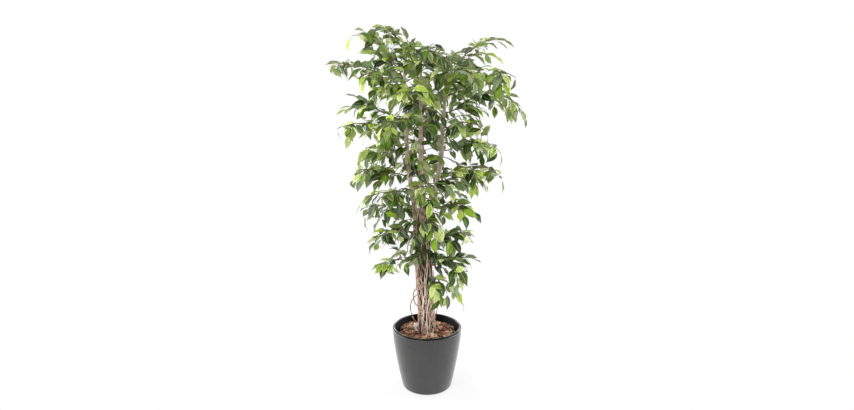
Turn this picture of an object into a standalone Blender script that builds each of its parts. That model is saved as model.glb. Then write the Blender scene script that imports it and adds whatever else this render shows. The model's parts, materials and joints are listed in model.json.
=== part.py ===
"""A potted ficus about 1.8 m tall: planter, liner, soil and mulch, a bundle of stems
and lianas, and leafy branches seated on the wood.

Metres, +Z up.  The origin is the centre of the planter's flat underside, -Y is the
front and +X the right-hand side.  Azimuths run from +X towards +Y.
"""

import math
import random
from itertools import permutations

import bmesh
import bpy
from mathutils import Vector
from mathutils.bvhtree import BVHTree

UP = Vector((0.0, 0.0, 1.0))
FULL_TURN = 2.0 * math.pi

# ---- Planter and liner --------------------------------------------------------
PLANTER_HEIGHT = 0.313
RIM_RADIUS = 0.175
FOOT_RADIUS = 0.1245
WALL_BELLY = 1.45  # above 1, the wall swells between foot and rim
FOOT_ROUND = 0.008
WALL = 0.0035
LIP_WIDTH = 0.010  # the planter's rim is folded inwards
LIP_DEPTH = 0.006
LIP_ROUND = 0.0015
WALL_STEPS = 6
ROUND_SIDES = 36
SEAT_GAP = 0.0004  # between two pieces that touch

LINER_WALL = 0.0036
LINER_FOOT_RADIUS = 0.111
LINER_TOP_RADIUS = RIM_RADIUS - LIP_WIDTH - 0.001
LINER_RIM_HEIGHT = 0.0062
LINER_RIM_OUTSIDE = RIM_RADIUS - 0.006
LINER_RIM_ROUND = 0.002
LINER_BOTTOM = WALL + SEAT_GAP
LINER_FLOOR = LINER_BOTTOM + LINER_WALL

# ---- Soil and mulch -----------------------------------------------------------
SOIL_TOP = 0.268
SOCKET_RADIUS = 0.0456
SOCKET_FLOOR = 0.205
MULCH_BASE_THICKNESS = 0.013
MULCH_HEAP = 0.012  # extra height beside the stems
MULCH_RINGS = 5
MULCH_SIDES = 36
MULCH_LUMPS = 26
MULCH_LUMP_RADIUS = (0.016, 0.027)
MULCH_LUMP_HEIGHT = (0.007, 0.016)

# ---- Stems --------------------------------------------------------------------
STEM_RADIUS = 0.0100
STEM_TIP_RADIUS = 0.0045
STEM_RING = 0.0152  # from the bundle's centre to each stem's
BUNDLE_TWIST = math.radians(-50.0)
SPREAD_START = 0.70
SPREAD_END = 1.26
BUNDLE_LEAN = Vector((-0.034, 0.004, 0.0))  # sideways travel of the bundle up to SPREAD_END
LEAN_POWER = 0.7  # below 1, the bundle leans sooner
STEM_TAPER_POWER = 2.6  # above 1, a stem stays thick for longer
STEM_STEP = 0.075

# name: (angle in the bundle, sideways travel at SPREAD_END, top height)
STEMS = {
    "stem_left": (180.0, Vector((-0.048, -0.006, 0.0)), 1.62),
    "stem_centre": (272.0, Vector((0.004, -0.022, 0.0)), 1.66),
    "stem_right": (2.0, Vector((0.092, 0.004, 0.0)), 1.60),
    "stem_back": (92.0, Vector((0.010, 0.060, 0.0)), 1.56),
}

# ---- Lianas in a ring round the stems ------------------------------------------
LIANA_COUNT = 8
LIANA_RING = 0.0328
LIANA_RADIUS = (0.0052, 0.0068)
LIANA_TIP_RADIUS = 0.0024
LIANA_WAVE = 0.10  # radians of sideways wander, each way
LIANA_TOP = (0.74, 1.02)
LIANA_STEP = 0.085

VINE_RING = 0.0426
VINE_RADIUS = 0.0021
VINE_STEPS = 18
# name: (start angle in degrees, turns, top height); one follows the other half a turn behind
WINDING_VINES = {
    "winding_vine_1": (212.0, 0.85, 0.71),
    "winding_vine_2": (10.0, 0.60, 0.64),
}

# ---- Aerial roots that bow out of the bundle ------------------------------------
ROOT_RADIUS = 0.0022
ROOT_STEPS = 9
LONG_ROOT_TOP = 0.482
LONG_ROOT_AZIMUTH = 196.0
LONG_ROOT_BOW = 0.030
LOOP_ROOT_SPAN = (0.508, 0.424)  # where the small loop leaves the bundle and comes back
LOOP_ROOT_AZIMUTH = 186.0
LOOP_ROOT_BOW = 0.014
STUB_FOOT = Vector((-0.048, -0.028, 0.0))  # its height comes from the mulch below it
STUB_HEAD = Vector((-0.056, -0.031, 0.344))
# Each row: the share of the height, the width, the depth and the shift sideways.
STUB_SECTIONS = (
    (0.0, 0.009, 0.008, 0.000),
    (0.45, 0.015, 0.010, -0.004),
    (0.72, 0.021, 0.013, -0.002),
    (1.0, 0.018, 0.011, 0.001),
)
BASAL_TWIG_HEIGHT = 0.352
BASAL_TWIG_AZIMUTH = -18.0
BASAL_TWIG_RISE = 0.095

# ---- Branches -------------------------------------------------------------------
TWIG_RADIUS = (0.0026, 0.0012)
SIDE_TWIG_SHARE = 0.8
NODE_HALF = 0.003  # half the length of the swelling where leaves sit
NODE_SPACING = 0.054
SIDE_BASE = 0.014  # where a side shoot's first ring stands
MAIN_BARE = 0.030
SIDE_BARE = 0.026
SIDE_LENGTH = (0.09, 0.15)
SIDE_ANGLE = (math.radians(34.0), math.radians(74.0))
SIDE_SLOPE = (-0.75, 0.60)  # radians above or below the main shoot's own slope
LEAF_LENGTH = (0.074, 0.097)
LEAF_WIDTH_SHARE = 0.46
LEAF_WIDEST = 0.44  # how far along the leaf it is widest
TIP_LEAF_SHARE = 0.74
LEAF_ROOT = 0.0026  # half the thickness of a leaf where it leaves the twig
LEAF_FRONT = 0.0008  # how far in front of the twig's facet a blade stays
GUARD = 0.0011  # clearance kept between branches while they are laid out
CLEAR_OF_WOOD = 0.012  # length of a branch's butt that may lie close to the wood
SWINGS = (0, 7, -7, 14, -14, 21, -21, 28, -28)  # degrees a branch may turn to find room
LEAF_TRIES = 45
SIDE_TRIES = 6
RIGHT, LEFT, BELOW, AHEAD = 1, -1, 0, 2  # where a leaf or shoot sits on its twig
FINE_STEP = 0.006
DROOP_POWER = 1.6

# Each row is one leafy branch: the stem that carries it, its height there, azimuth,
# length, lift above the horizon and droop by the tip, in metres and degrees.
BRANCHES = (
    # top of the crown
    ("stem_left", 1.590, 170, 0.31, 70, 82),
    ("stem_left", 1.550, 116, 0.26, 70, 62),
    ("stem_centre", 1.610, 204, 0.23, 74, 72),
    ("stem_centre", 1.590, 292, 0.25, 48, 88),
    ("stem_right", 1.585, 10, 0.32, 60, 72),
    ("stem_right", 1.555, 88, 0.26, 64, 74),
    ("stem_back", 1.530, 98, 0.30, 62, 82),
    # shoulders
    ("stem_left", 1.490, 183, 0.37, 48, 72),
    ("stem_left", 1.505, 232, 0.29, 46, 92),
    ("stem_right", 1.470, 346, 0.36, 50, 86),
    ("stem_right", 1.520, 296, 0.27, 44, 96),
    ("stem_right", 1.390, 10, 0.45, 42, 112),
    ("stem_back", 1.420, 46, 0.33, 44, 84),
    ("stem_back", 1.440, 142, 0.33, 44, 84),
    ("stem_centre", 1.470, 258, 0.25, 40, 96),
    # widest part
    ("stem_left", 1.350, 168, 0.30, 36, 58),
    ("stem_left", 1.275, 200, 0.34, 34, 62),
    ("stem_left", 1.190, 156, 0.25, 30, 66),
    ("stem_right", 1.320, 324, 0.26, 30, 92),
    ("stem_right", 1.210, 356, 0.30, 36, 94),
    ("stem_centre", 1.350, 236, 0.24, 32, 92),
    ("stem_back", 1.310, 76, 0.30, 38, 86),
    ("stem_back", 1.230, 146, 0.29, 34, 86),
    # waist
    ("stem_left", 1.090, 190, 0.31, 34, 104),
    ("stem_left", 1.010, 222, 0.22, 24, 80),
    ("stem_right", 1.080, 352, 0.33, 38, 96),
    ("stem_right", 1.040, 40, 0.25, 34, 84),
    ("stem_centre", 1.060, 284, 0.19, 14, 90),
    ("stem_back", 1.090, 100, 0.28, 32, 86),
    # skirt
    ("stem_left", 0.920, 182, 0.25, 28, 84),
    ("stem_right", 0.930, 344, 0.20, 34, 84),
    ("stem_centre", 0.900, 292, 0.17, 0, 76),
    ("stem_back", 0.870, 96, 0.26, 26, 84),
    ("stem_left", 0.810, 202, 0.22, 26, 80),
    ("stem_right", 0.760, 354, 0.25, 46, 112),
    ("stem_right", 0.640, 340, 0.22, 34, 92),
    ("stem_left", 0.650, 176, 0.19, 22, 56),
    ("stem_right", 0.585, 318, 0.13, -14, 60),
)

COLOURS = {
    "planter": ((0.085, 0.088, 0.090, 1.0), 0.42, 0.15),
    "liner": ((0.006, 0.006, 0.007, 1.0), 0.16, 0.0),
    "soil": ((0.045, 0.028, 0.018, 1.0), 0.95, 0.0),
    "mulch": ((0.200, 0.105, 0.062, 1.0), 0.95, 0.0),
    "bark": ((0.330, 0.235, 0.165, 1.0), 0.85, 0.0),
    "pale_wood": ((0.800, 0.740, 0.640, 1.0), 0.70, 0.0),
    "foliage": ((0.150, 0.220, 0.075, 1.0), 0.45, 0.0),
}


def material(slot):
    """The Principled material of one finish, made once."""
    found = bpy.data.materials.get(slot)
    if found:
        return found
    colour, roughness, metallic = COLOURS[slot]
    made = bpy.data.materials.new(slot)
    made.use_nodes = True
    shader = made.node_tree.nodes["Principled BSDF"]
    shader.inputs["Base Color"].default_value = colour
    shader.inputs["Roughness"].default_value = roughness
    shader.inputs["Metallic"].default_value = metallic
    made.diffuse_color = colour
    return made


def show(name, data, slot):
    """Links a mesh or curve as a named object with its finish."""
    obj = bpy.data.objects.new(name, data)
    data.materials.append(material(slot))
    bpy.context.scene.collection.objects.link(obj)
    return obj


def mesh_of(bm, name):
    mesh = bpy.data.meshes.new(name)
    bm.to_mesh(mesh)
    bm.free()
    return mesh


def between(low, high, share):
    return low + (high - low) * share


def smooth(share):
    """0 to 1 with level ends."""
    share = min(1.0, max(0.0, share))
    return share * share * (3.0 - 2.0 * share)


def heights(low, high, steps):
    return [between(low, high, step / steps) for step in range(steps + 1)]


# ---- Turned pieces --------------------------------------------------------------
def turned(name, outline, slot):
    """A solid of revolution about Z, from an outline of (radius, height) points that
    begins and ends on the axis."""
    bm = bmesh.new()
    points = [bm.verts.new((radius, 0.0, height)) for radius, height in outline]
    edges = [bm.edges.new(pair) for pair in zip(points, points[1:])]
    bmesh.ops.spin(
        bm,
        geom=points + edges,
        axis=UP,
        cent=(0.0, 0.0, 0.0),
        angle=FULL_TURN,
        steps=ROUND_SIDES,
        use_merge=True,
    )
    bmesh.ops.remove_doubles(bm, verts=bm.verts, dist=1e-5)
    bmesh.ops.recalc_face_normals(bm, faces=bm.faces)
    mesh = mesh_of(bm, name)
    mesh.shade_smooth()
    mesh.set_sharp_from_angle(angle=math.radians(35.0))
    return show(name, mesh, slot)


def wall_radius(height):
    """The planter's outer radius: it swells as it rises from the foot to the rim."""
    share = min(1.0, height / PLANTER_HEIGHT)
    return between(FOOT_RADIUS, RIM_RADIUS, 1.0 - (1.0 - share) ** WALL_BELLY)


def planter():
    """The planter is an open tapered shell with a flat foot and a lip folded inwards."""
    outer = []
    for step in range(3):  # the rounded foot
        angle = math.pi / 2.0 * step / 3
        inset = FOOT_ROUND * (1.0 - math.sin(angle))
        outer.append((wall_radius(0.0) - inset, FOOT_ROUND * (1.0 - math.cos(angle))))
    for height in heights(FOOT_ROUND, PLANTER_HEIGHT - LIP_ROUND, WALL_STEPS):
        outer.append((wall_radius(height), height))
    lip = [
        (RIM_RADIUS - LIP_ROUND, PLANTER_HEIGHT),
        (RIM_RADIUS - LIP_WIDTH, PLANTER_HEIGHT),
        (RIM_RADIUS - LIP_WIDTH, PLANTER_HEIGHT - LIP_DEPTH),
    ]
    inner = []
    for height in heights(PLANTER_HEIGHT - 2 * LIP_DEPTH, WALL, WALL_STEPS // 2):
        inner.append((wall_radius(height) - WALL, height))
    return turned("planter", [(0.0, 0.0), *outer, *lip, *inner, (0.0, WALL)], "planter")


def liner_outside(height):
    return between(LINER_FOOT_RADIUS, LINER_TOP_RADIUS, height / PLANTER_HEIGHT)


def liner_inside(height):
    return liner_outside(height) - LINER_WALL


def planter_liner():
    """A straight pot inside the planter; its rim lies on the planter's lip."""
    seat = PLANTER_HEIGHT + SEAT_GAP
    crown = seat + LINER_RIM_HEIGHT
    rim_inside = liner_inside(crown)
    outline = [
        (0.0, LINER_BOTTOM),
        (liner_outside(LINER_BOTTOM), LINER_BOTTOM),
        (liner_outside(seat), seat),
        (LINER_RIM_OUTSIDE, seat),
        (LINER_RIM_OUTSIDE, crown - LINER_RIM_ROUND),
        (LINER_RIM_OUTSIDE - LINER_RIM_ROUND, crown),
        (rim_inside + LINER_RIM_ROUND, crown),
        (rim_inside, crown - LINER_RIM_ROUND),
        (liner_inside(LINER_FLOOR), LINER_FLOOR),
        (0.0, LINER_FLOOR),
    ]
    return turned("planter_liner", outline, "liner")


# ---- Soil and mulch -------------------------------------------------------------
def potting_soil():
    """Soil fills the liner and has a round socket for the bundle of stems."""
    bottom = LINER_FLOOR + SEAT_GAP
    outline = [
        (0.0, bottom),
        (liner_inside(bottom) - 2 * SEAT_GAP, bottom),
        (liner_inside(SOIL_TOP) - 2 * SEAT_GAP, SOIL_TOP),
        (SOCKET_RADIUS, SOIL_TOP),
        (SOCKET_RADIUS, SOCKET_FLOOR),
        (0.0, SOCKET_FLOOR),
    ]
    return turned("potting_soil", outline, "soil")


def coir_mulch():
    """Loose coir lumps as one heaped ring round the stems, thickest beside them."""
    rng = random.Random(7)
    bottom = SOIL_TOP + SEAT_GAP
    outside = liner_inside(bottom) - 0.0020
    lumps = []
    for _ in range(MULCH_LUMPS):
        angle = rng.uniform(0.0, FULL_TURN)
        radius = between(SOCKET_RADIUS + 0.012, outside - 0.014, math.sqrt(rng.random()))
        centre = Vector((radius * math.cos(angle), radius * math.sin(angle)))
        lumps.append((centre, rng.uniform(*MULCH_LUMP_RADIUS), rng.uniform(*MULCH_LUMP_HEIGHT)))

    def surface(x, y):
        place = Vector((x, y))
        share = (place.length - SOCKET_RADIUS) / (outside - SOCKET_RADIUS)
        height = MULCH_BASE_THICKNESS + MULCH_HEAP * (1.0 - smooth(share))
        swell = max(h * math.exp(-((place - c).length / r) ** 2) for c, r, h in lumps)
        return bottom + height + swell

    bm = bmesh.new()
    rings = []
    for ring in range(MULCH_RINGS + 1):
        radius = between(SOCKET_RADIUS, outside, ring / MULCH_RINGS)
        verts = []
        for side in range(MULCH_SIDES):
            angle = FULL_TURN * side / MULCH_SIDES
            x, y = radius * math.cos(angle), radius * math.sin(angle)
            verts.append(bm.verts.new((x, y, surface(x, y))))
        rings.append(verts)
    for radius in (outside, SOCKET_RADIUS):
        verts = []
        for side in range(MULCH_SIDES):
            angle = FULL_TURN * side / MULCH_SIDES
            verts.append(bm.verts.new((radius * math.cos(angle), radius * math.sin(angle), bottom)))
        rings.append(verts)
    for inner, outer in zip(rings, rings[1:] + rings[:1]):
        for side in range(MULCH_SIDES):
            after = (side + 1) % MULCH_SIDES
            bm.faces.new((inner[side], outer[side], outer[after], inner[after]))
    bmesh.ops.recalc_face_normals(bm, faces=bm.faces)
    return show("coir_mulch", mesh_of(bm, "coir_mulch"), "mulch")


# ---- Woody stems ----------------------------------------------------------------
def round_stick(name, points, radii, roundness, slot="bark"):
    """A round stick along points: a bevelled curve with a radius at each point."""
    curve = bpy.data.curves.new(name, "CURVE")
    curve.dimensions = "3D"
    curve.bevel_depth = 1.0
    curve.bevel_resolution = roundness
    curve.use_fill_caps = True
    spline = curve.splines.new("POLY")
    spline.points.add(len(points) - 1)
    for spot, point, radius in zip(spline.points, points, radii):
        spot.co = (*point, 1.0)
        spot.radius = radius
    return show(name, curve, slot)


def bundle_axis(height):
    share = (height - SOIL_TOP) / (SPREAD_END - SOIL_TOP)
    return BUNDLE_LEAN * smooth(share) ** LEAN_POWER + UP * height


def bundle_turn(height):
    """The whole bundle turns together as it rises, so its members never meet."""
    share = (height - SOCKET_FLOOR) / (SPREAD_START - SOCKET_FLOOR)
    return BUNDLE_TWIST * (1.0 - smooth(share))


def spread(name, height):
    """How far a stem has left the bundle at a height."""
    _, travel, top = STEMS[name]
    share = (height - SPREAD_START) / (SPREAD_END - SPREAD_START)
    if height <= SPREAD_END:
        return travel * smooth(share)
    return travel * (1.0 + 0.22 * (height - SPREAD_END) / (top - SPREAD_END))


def ring_place(angle, radius, height):
    angle += bundle_turn(height)
    return bundle_axis(height) + Vector((math.cos(angle), math.sin(angle), 0.0)) * radius


def stem_centre(name, height):
    angle = math.radians(STEMS[name][0])
    return ring_place(angle, STEM_RING, height) + spread(name, height)


def stem_radius(name, height):
    share = (height - SPREAD_START) / (STEMS[name][2] - SPREAD_START)
    return between(STEM_RADIUS, STEM_TIP_RADIUS, smooth(share) ** STEM_TAPER_POWER)


def stem(name):
    top = STEMS[name][2]
    levels = heights(SOCKET_FLOOR + SEAT_GAP, top, round(top / STEM_STEP))
    points = [stem_centre(name, height) for height in levels]
    return round_stick(name, points, [stem_radius(name, h) for h in levels], roundness=2)


def nearest_stem(angle):
    """The stem that stands closest to this angle of the bundle."""
    return max(STEMS, key=lambda name: math.cos(angle - math.radians(STEMS[name][0])))


def liana(number):
    rng = random.Random(40 + number)
    angle = FULL_TURN * (number + 0.5) / LIANA_COUNT
    host = nearest_stem(angle)
    radius = rng.uniform(*LIANA_RADIUS)
    phase = rng.uniform(0.0, FULL_TURN)
    waves = rng.uniform(1.2, 2.2)
    top = rng.uniform(*LIANA_TOP)
    levels = heights(SOCKET_FLOOR + SEAT_GAP, top, round(top / LIANA_STEP))
    points, radii = [], []
    for height in levels:
        share = (height - levels[0]) / (top - levels[0])
        wander = LIANA_WAVE * math.sin(phase + waves * FULL_TURN * share) * smooth(share * 6.0)
        points.append(ring_place(angle + wander, LIANA_RING, height) + spread(host, height))
        radii.append(between(radius, LIANA_TIP_RADIUS, smooth((share - 0.55) / 0.45)))
    return round_stick(f"liana_{number + 1}", points, radii, roundness=1)


def winding_vine(name):
    """A thin vine wound round the outside of the bundle."""
    start, turns, top = WINDING_VINES[name]
    levels = heights(SOCKET_FLOOR + VINE_RADIUS * 0.65, top, VINE_STEPS)
    points = []
    for height in levels:
        share = (height - levels[0]) / (top - levels[0])
        angle = math.radians(start) + turns * FULL_TURN * share - bundle_turn(height)
        points.append(ring_place(angle, VINE_RING, height))
    return round_stick(name, points, [VINE_RADIUS] * len(points), roundness=1)


def seat_on(wood, centre, azimuth, radius):
    """The point just outside the wood where a stick of this radius can butt on it,
    coming in level from outside at an azimuth."""
    out = Vector((math.cos(azimuth), math.sin(azimuth), 0.0))
    side = Vector((out.y, -out.x, 0.0))
    disc = [Vector()]
    for step in range(8):
        angle = FULL_TURN * step / 8
        disc.append((side * math.cos(angle) + UP * math.sin(angle)) * radius)
    middle = (wood.ray(centre + out * 0.2, -out) or centre) + out * 0.018
    for _ in range(80):  # each step is no longer than the room that is left
        room = min(wood.distance(middle + spot) for spot in disc) - SEAT_GAP
        if room < 0.00002:
            break
        middle -= out * room
    return middle


def proud_seat(wood, height, azimuth):
    """A root's seat on whatever stands proudest of the bundle near an azimuth, with the
    direction away from the bundle there."""
    centre = bundle_axis(height)
    seats = []
    for swing in range(-20, 21, 4):
        near = math.radians(azimuth + swing)
        out = Vector((math.cos(near), math.sin(near), 0.0))
        seats.append((seat_on(wood, centre, near, ROOT_RADIUS), out))
    return max(seats, key=lambda seat: (seat[0] - centre).dot(seat[1]))


def bowed_root(name, wood):
    """A thin root that leaves the bundle level, bows outwards and comes back to it."""
    begin, begin_out = proud_seat(wood, LOOP_ROOT_SPAN[0], LOOP_ROOT_AZIMUTH)
    end, end_out = proud_seat(wood, LOOP_ROOT_SPAN[1], LOOP_ROOT_AZIMUTH)
    points = [begin, begin + begin_out * 0.007]
    for step in range(1, ROOT_STEPS):
        share = step / ROOT_STEPS
        bow = 0.008 + LOOP_ROOT_BOW * math.sin(math.pi * share) ** 0.6
        points.append(begin.lerp(end, share) + begin_out.lerp(end_out, share) * bow)
    points += [end + end_out * 0.007, end]
    return round_stick(name, points, [ROOT_RADIUS] * len(points), roundness=1)


def hanging_root(name, wood):
    """A long root that bows away from the bundle and ends on the pale stub."""
    begin, out = proud_seat(wood, LONG_ROOT_TOP, LONG_ROOT_AZIMUTH)
    end = STUB_HEAD + UP * SEAT_GAP
    points = [begin, begin + out * 0.006 - UP * 0.001]
    for step in range(1, ROOT_STEPS):
        share = step / ROOT_STEPS
        swing = LONG_ROOT_BOW * math.sin(math.pi * share**0.8)
        points.append(begin.lerp(end, share) + out * (0.006 * (1.0 - share) + swing))
    points += [end + UP * 0.006, end]
    return round_stick(name, points, [ROOT_RADIUS] * len(points), roundness=1)


def pale_stub(mulch):
    """A pale, angular piece of broken root that stands on the mulch beside the bundle."""
    ground = Taken([mulch])
    _, width, depth, _ = STUB_SECTIONS[0]
    under = []
    for x in range(-2, 3):
        for y in range(-2, 3):
            above = STUB_FOOT + Vector((x * width / 4, y * depth / 4, STUB_HEAD.z))
            under.append(ground.ray(above, -UP).z)
    foot = STUB_FOOT + UP * (max(under) + SEAT_GAP)

    bm = bmesh.new()
    rings = []
    for share, width, depth, shift in STUB_SECTIONS:
        centre = foot.lerp(STUB_HEAD, share) + Vector((shift, 0.0, 0.0))
        corners = [(-width, -depth), (width, -depth), (width, depth), (-width, depth)]
        rings.append([bm.verts.new(centre + Vector((x / 2, y / 2, 0.0))) for x, y in corners])
    for low, high in zip(rings, rings[1:]):
        for side in range(4):
            after = (side + 1) % 4
            bm.faces.new((low[side], low[after], high[after], high[side]))
    bm.faces.new(rings[0][::-1])
    bm.faces.new(rings[-1])
    bmesh.ops.recalc_face_normals(bm, faces=bm.faces)
    return show("root_tip_pale", mesh_of(bm, "root_tip_pale"), "pale_wood")


def basal_twig(name, wood):
    """A bare twig that sprouts low on the bundle and rises beside it."""
    begin, out = proud_seat(wood, BASAL_TWIG_HEIGHT, BASAL_TWIG_AZIMUTH)
    points = [begin, begin + out * 0.006]
    for step in range(1, 6):
        rise = BASAL_TWIG_RISE * step / 5
        points.append(begin + out * (0.006 + 0.17 * rise) + UP * rise)
    radii = [between(ROOT_RADIUS, 0.0012, i / (len(points) - 1)) for i in range(len(points))]
    return round_stick(name, points, radii, roundness=1)


# ---- Keeping pieces apart ---------------------------------------------------------
class Taken:
    """The space already used, as small search trees with a sphere round each."""

    def __init__(self, objects):
        self.spots = []
        bpy.context.view_layer.update()
        graph = bpy.context.evaluated_depsgraph_get()
        for obj in objects:
            mesh = obj.evaluated_get(graph).to_mesh()
            points = [obj.matrix_world @ vert.co for vert in mesh.vertices]
            self.add((points, [tuple(face.vertices) for face in mesh.polygons]), "wood")

    def add(self, body, owner):
        self.spots.append((*ball_round(body[0]), BVHTree.FromPolygons(*body), owner))

    def meets(self, body, but=None):
        """Whether a body crosses anything here, apart from one owner's own pieces."""
        centre, reach = ball_round(body[0])
        tree = BVHTree.FromPolygons(*body)
        for other, other_reach, other_tree, owner in self.spots:
            if owner is not but and (centre - other).length < reach + other_reach:
                if tree.overlap(other_tree):
                    return True
        return False

    def ray(self, origin, direction):
        """The nearest surface along a ray, or None."""
        hits = [tree.ray_cast(origin, direction) for _, _, tree, _ in self.spots]
        hits = [hit for hit in hits if hit[0] is not None]
        return min(hits, key=lambda hit: hit[3])[0] if hits else None

    def distance(self, point):
        found = (tree.find_nearest(point, 0.02) for _, _, tree, _ in self.spots)
        return min((hit[3] for hit in found if hit[0] is not None), default=1.0)


def ball_round(points):
    centre = sum(points, Vector()) / len(points)
    return centre, max((point - centre).length for point in points)


# ---- Shoots and leaves --------------------------------------------------------------
class Shoot:
    """One twig: a line that lifts off, then droops, with stations where leaves sit."""

    def __init__(self, start, azimuth, lift, droop, length, bare, radii):
        self.azimuth, self.length, self.radii = azimuth, length, radii
        self.side = Vector((math.sin(azimuth), -math.cos(azimuth), 0.0))
        self.out = Vector((math.cos(azimuth), math.sin(azimuth), 0.0))
        self.points, self.slopes = [start.copy()], []
        steps = math.ceil(length / FINE_STEP)
        for step in range(steps + 1):
            share = step / steps
            slope = lift * smooth(share * length / 0.05) - droop * share**DROOP_POWER
            self.slopes.append(slope)
            along = self.out * math.cos(slope) + UP * math.sin(slope)
            self.points.append(self.points[-1] + along * (length / steps))
        count = max(1, round((length - bare) / NODE_SPACING))
        gap = (length - bare) / count
        self.stations = [bare + gap * (number + 0.35) for number in range(count)]

    def at(self, along):
        """(point, tangent, top direction) at a distance along the shoot."""
        place = along / self.length * (len(self.slopes) - 1)
        index = min(int(place), len(self.slopes) - 2)
        share = place - index
        slope = between(self.slopes[index], self.slopes[index + 1], share)
        point = self.points[index].lerp(self.points[index + 1], share)
        tangent = self.out * math.cos(slope) + UP * math.sin(slope)
        return point, tangent, self.side.cross(tangent)

    def ring(self, along, extra=0.0):
        """Three corners round the shoot, in the order top, right, left."""
        point, _, top = self.at(along)
        radius = between(*self.radii, min(1.0, along / self.length)) + extra
        corners = (top, self.side * 0.866 - top * 0.5, self.side * -0.866 - top * 0.5)
        return [point + corner * radius for corner in corners]

    def guard(self, first=0.0):
        """The shoot as a slightly fatter closed tube, from a distance along it."""
        count = max(2, math.ceil((self.length - first) / 0.03))
        points, faces = [], []
        for step in range(count + 1):
            points += self.ring(between(first, self.length, step / count), GUARD)
        for step in range(count):
            low = 3 * step
            for corner in range(3):
                after = (corner + 1) % 3
                faces.append((low + corner, low + after, low + 3 + after, low + 3 + corner))
        faces += [(0, 1, 2), (3 * count, 3 * count + 1, 3 * count + 2)]
        return points, faces


class Leaf:
    """One leaf's place: its base, its length and its own three directions."""

    def __init__(self, base, along, normal, length):
        self.base, self.length = base, length
        self.along = along.normalized()
        self.normal = (normal - self.along * normal.dot(self.along)).normalized()
        self.across = self.along.cross(self.normal)

    def corners(self, extra=0.0):
        """Right, tip and left corners of the blade."""
        half = self.length * LEAF_WIDTH_SHARE / 2 + extra
        widest = self.base + self.along * (self.length * LEAF_WIDEST)
        tip = self.base + self.along * (self.length + extra)
        return [widest + self.across * half, tip, widest - self.across * half]

    def leaves_facet(self, outward):
        """Whether the whole blade is in front of the twig's facet that it grows from."""
        return min((corner - self.base).dot(outward) for corner in self.corners()) > LEAF_FRONT

    def rings(self):
        """The blade's corners in every order, as it can face either way."""
        return turns(self.corners()) + turns(self.corners()[::-1])

    def guard(self, bare=0.0):
        """A closed hull a little larger than the leaf, without its first stretch."""
        near = self.base + self.along * bare
        high, wide = self.normal * LEAF_ROOT, self.across * LEAF_ROOT
        points = [near + high, near + wide, near - high, near - wide, *self.corners(GUARD)]
        top, right_root, bottom, left_root, right, tip, left = range(7)
        faces = [(top, right_root, bottom, left_root), (top, right, right_root)]
        faces += [(right_root, right, bottom), (bottom, left, left_root), (left_root, left, top)]
        faces += [(top, tip, right), (top, left, tip), (bottom, right, tip), (bottom, tip, left)]
        return points, faces


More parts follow.
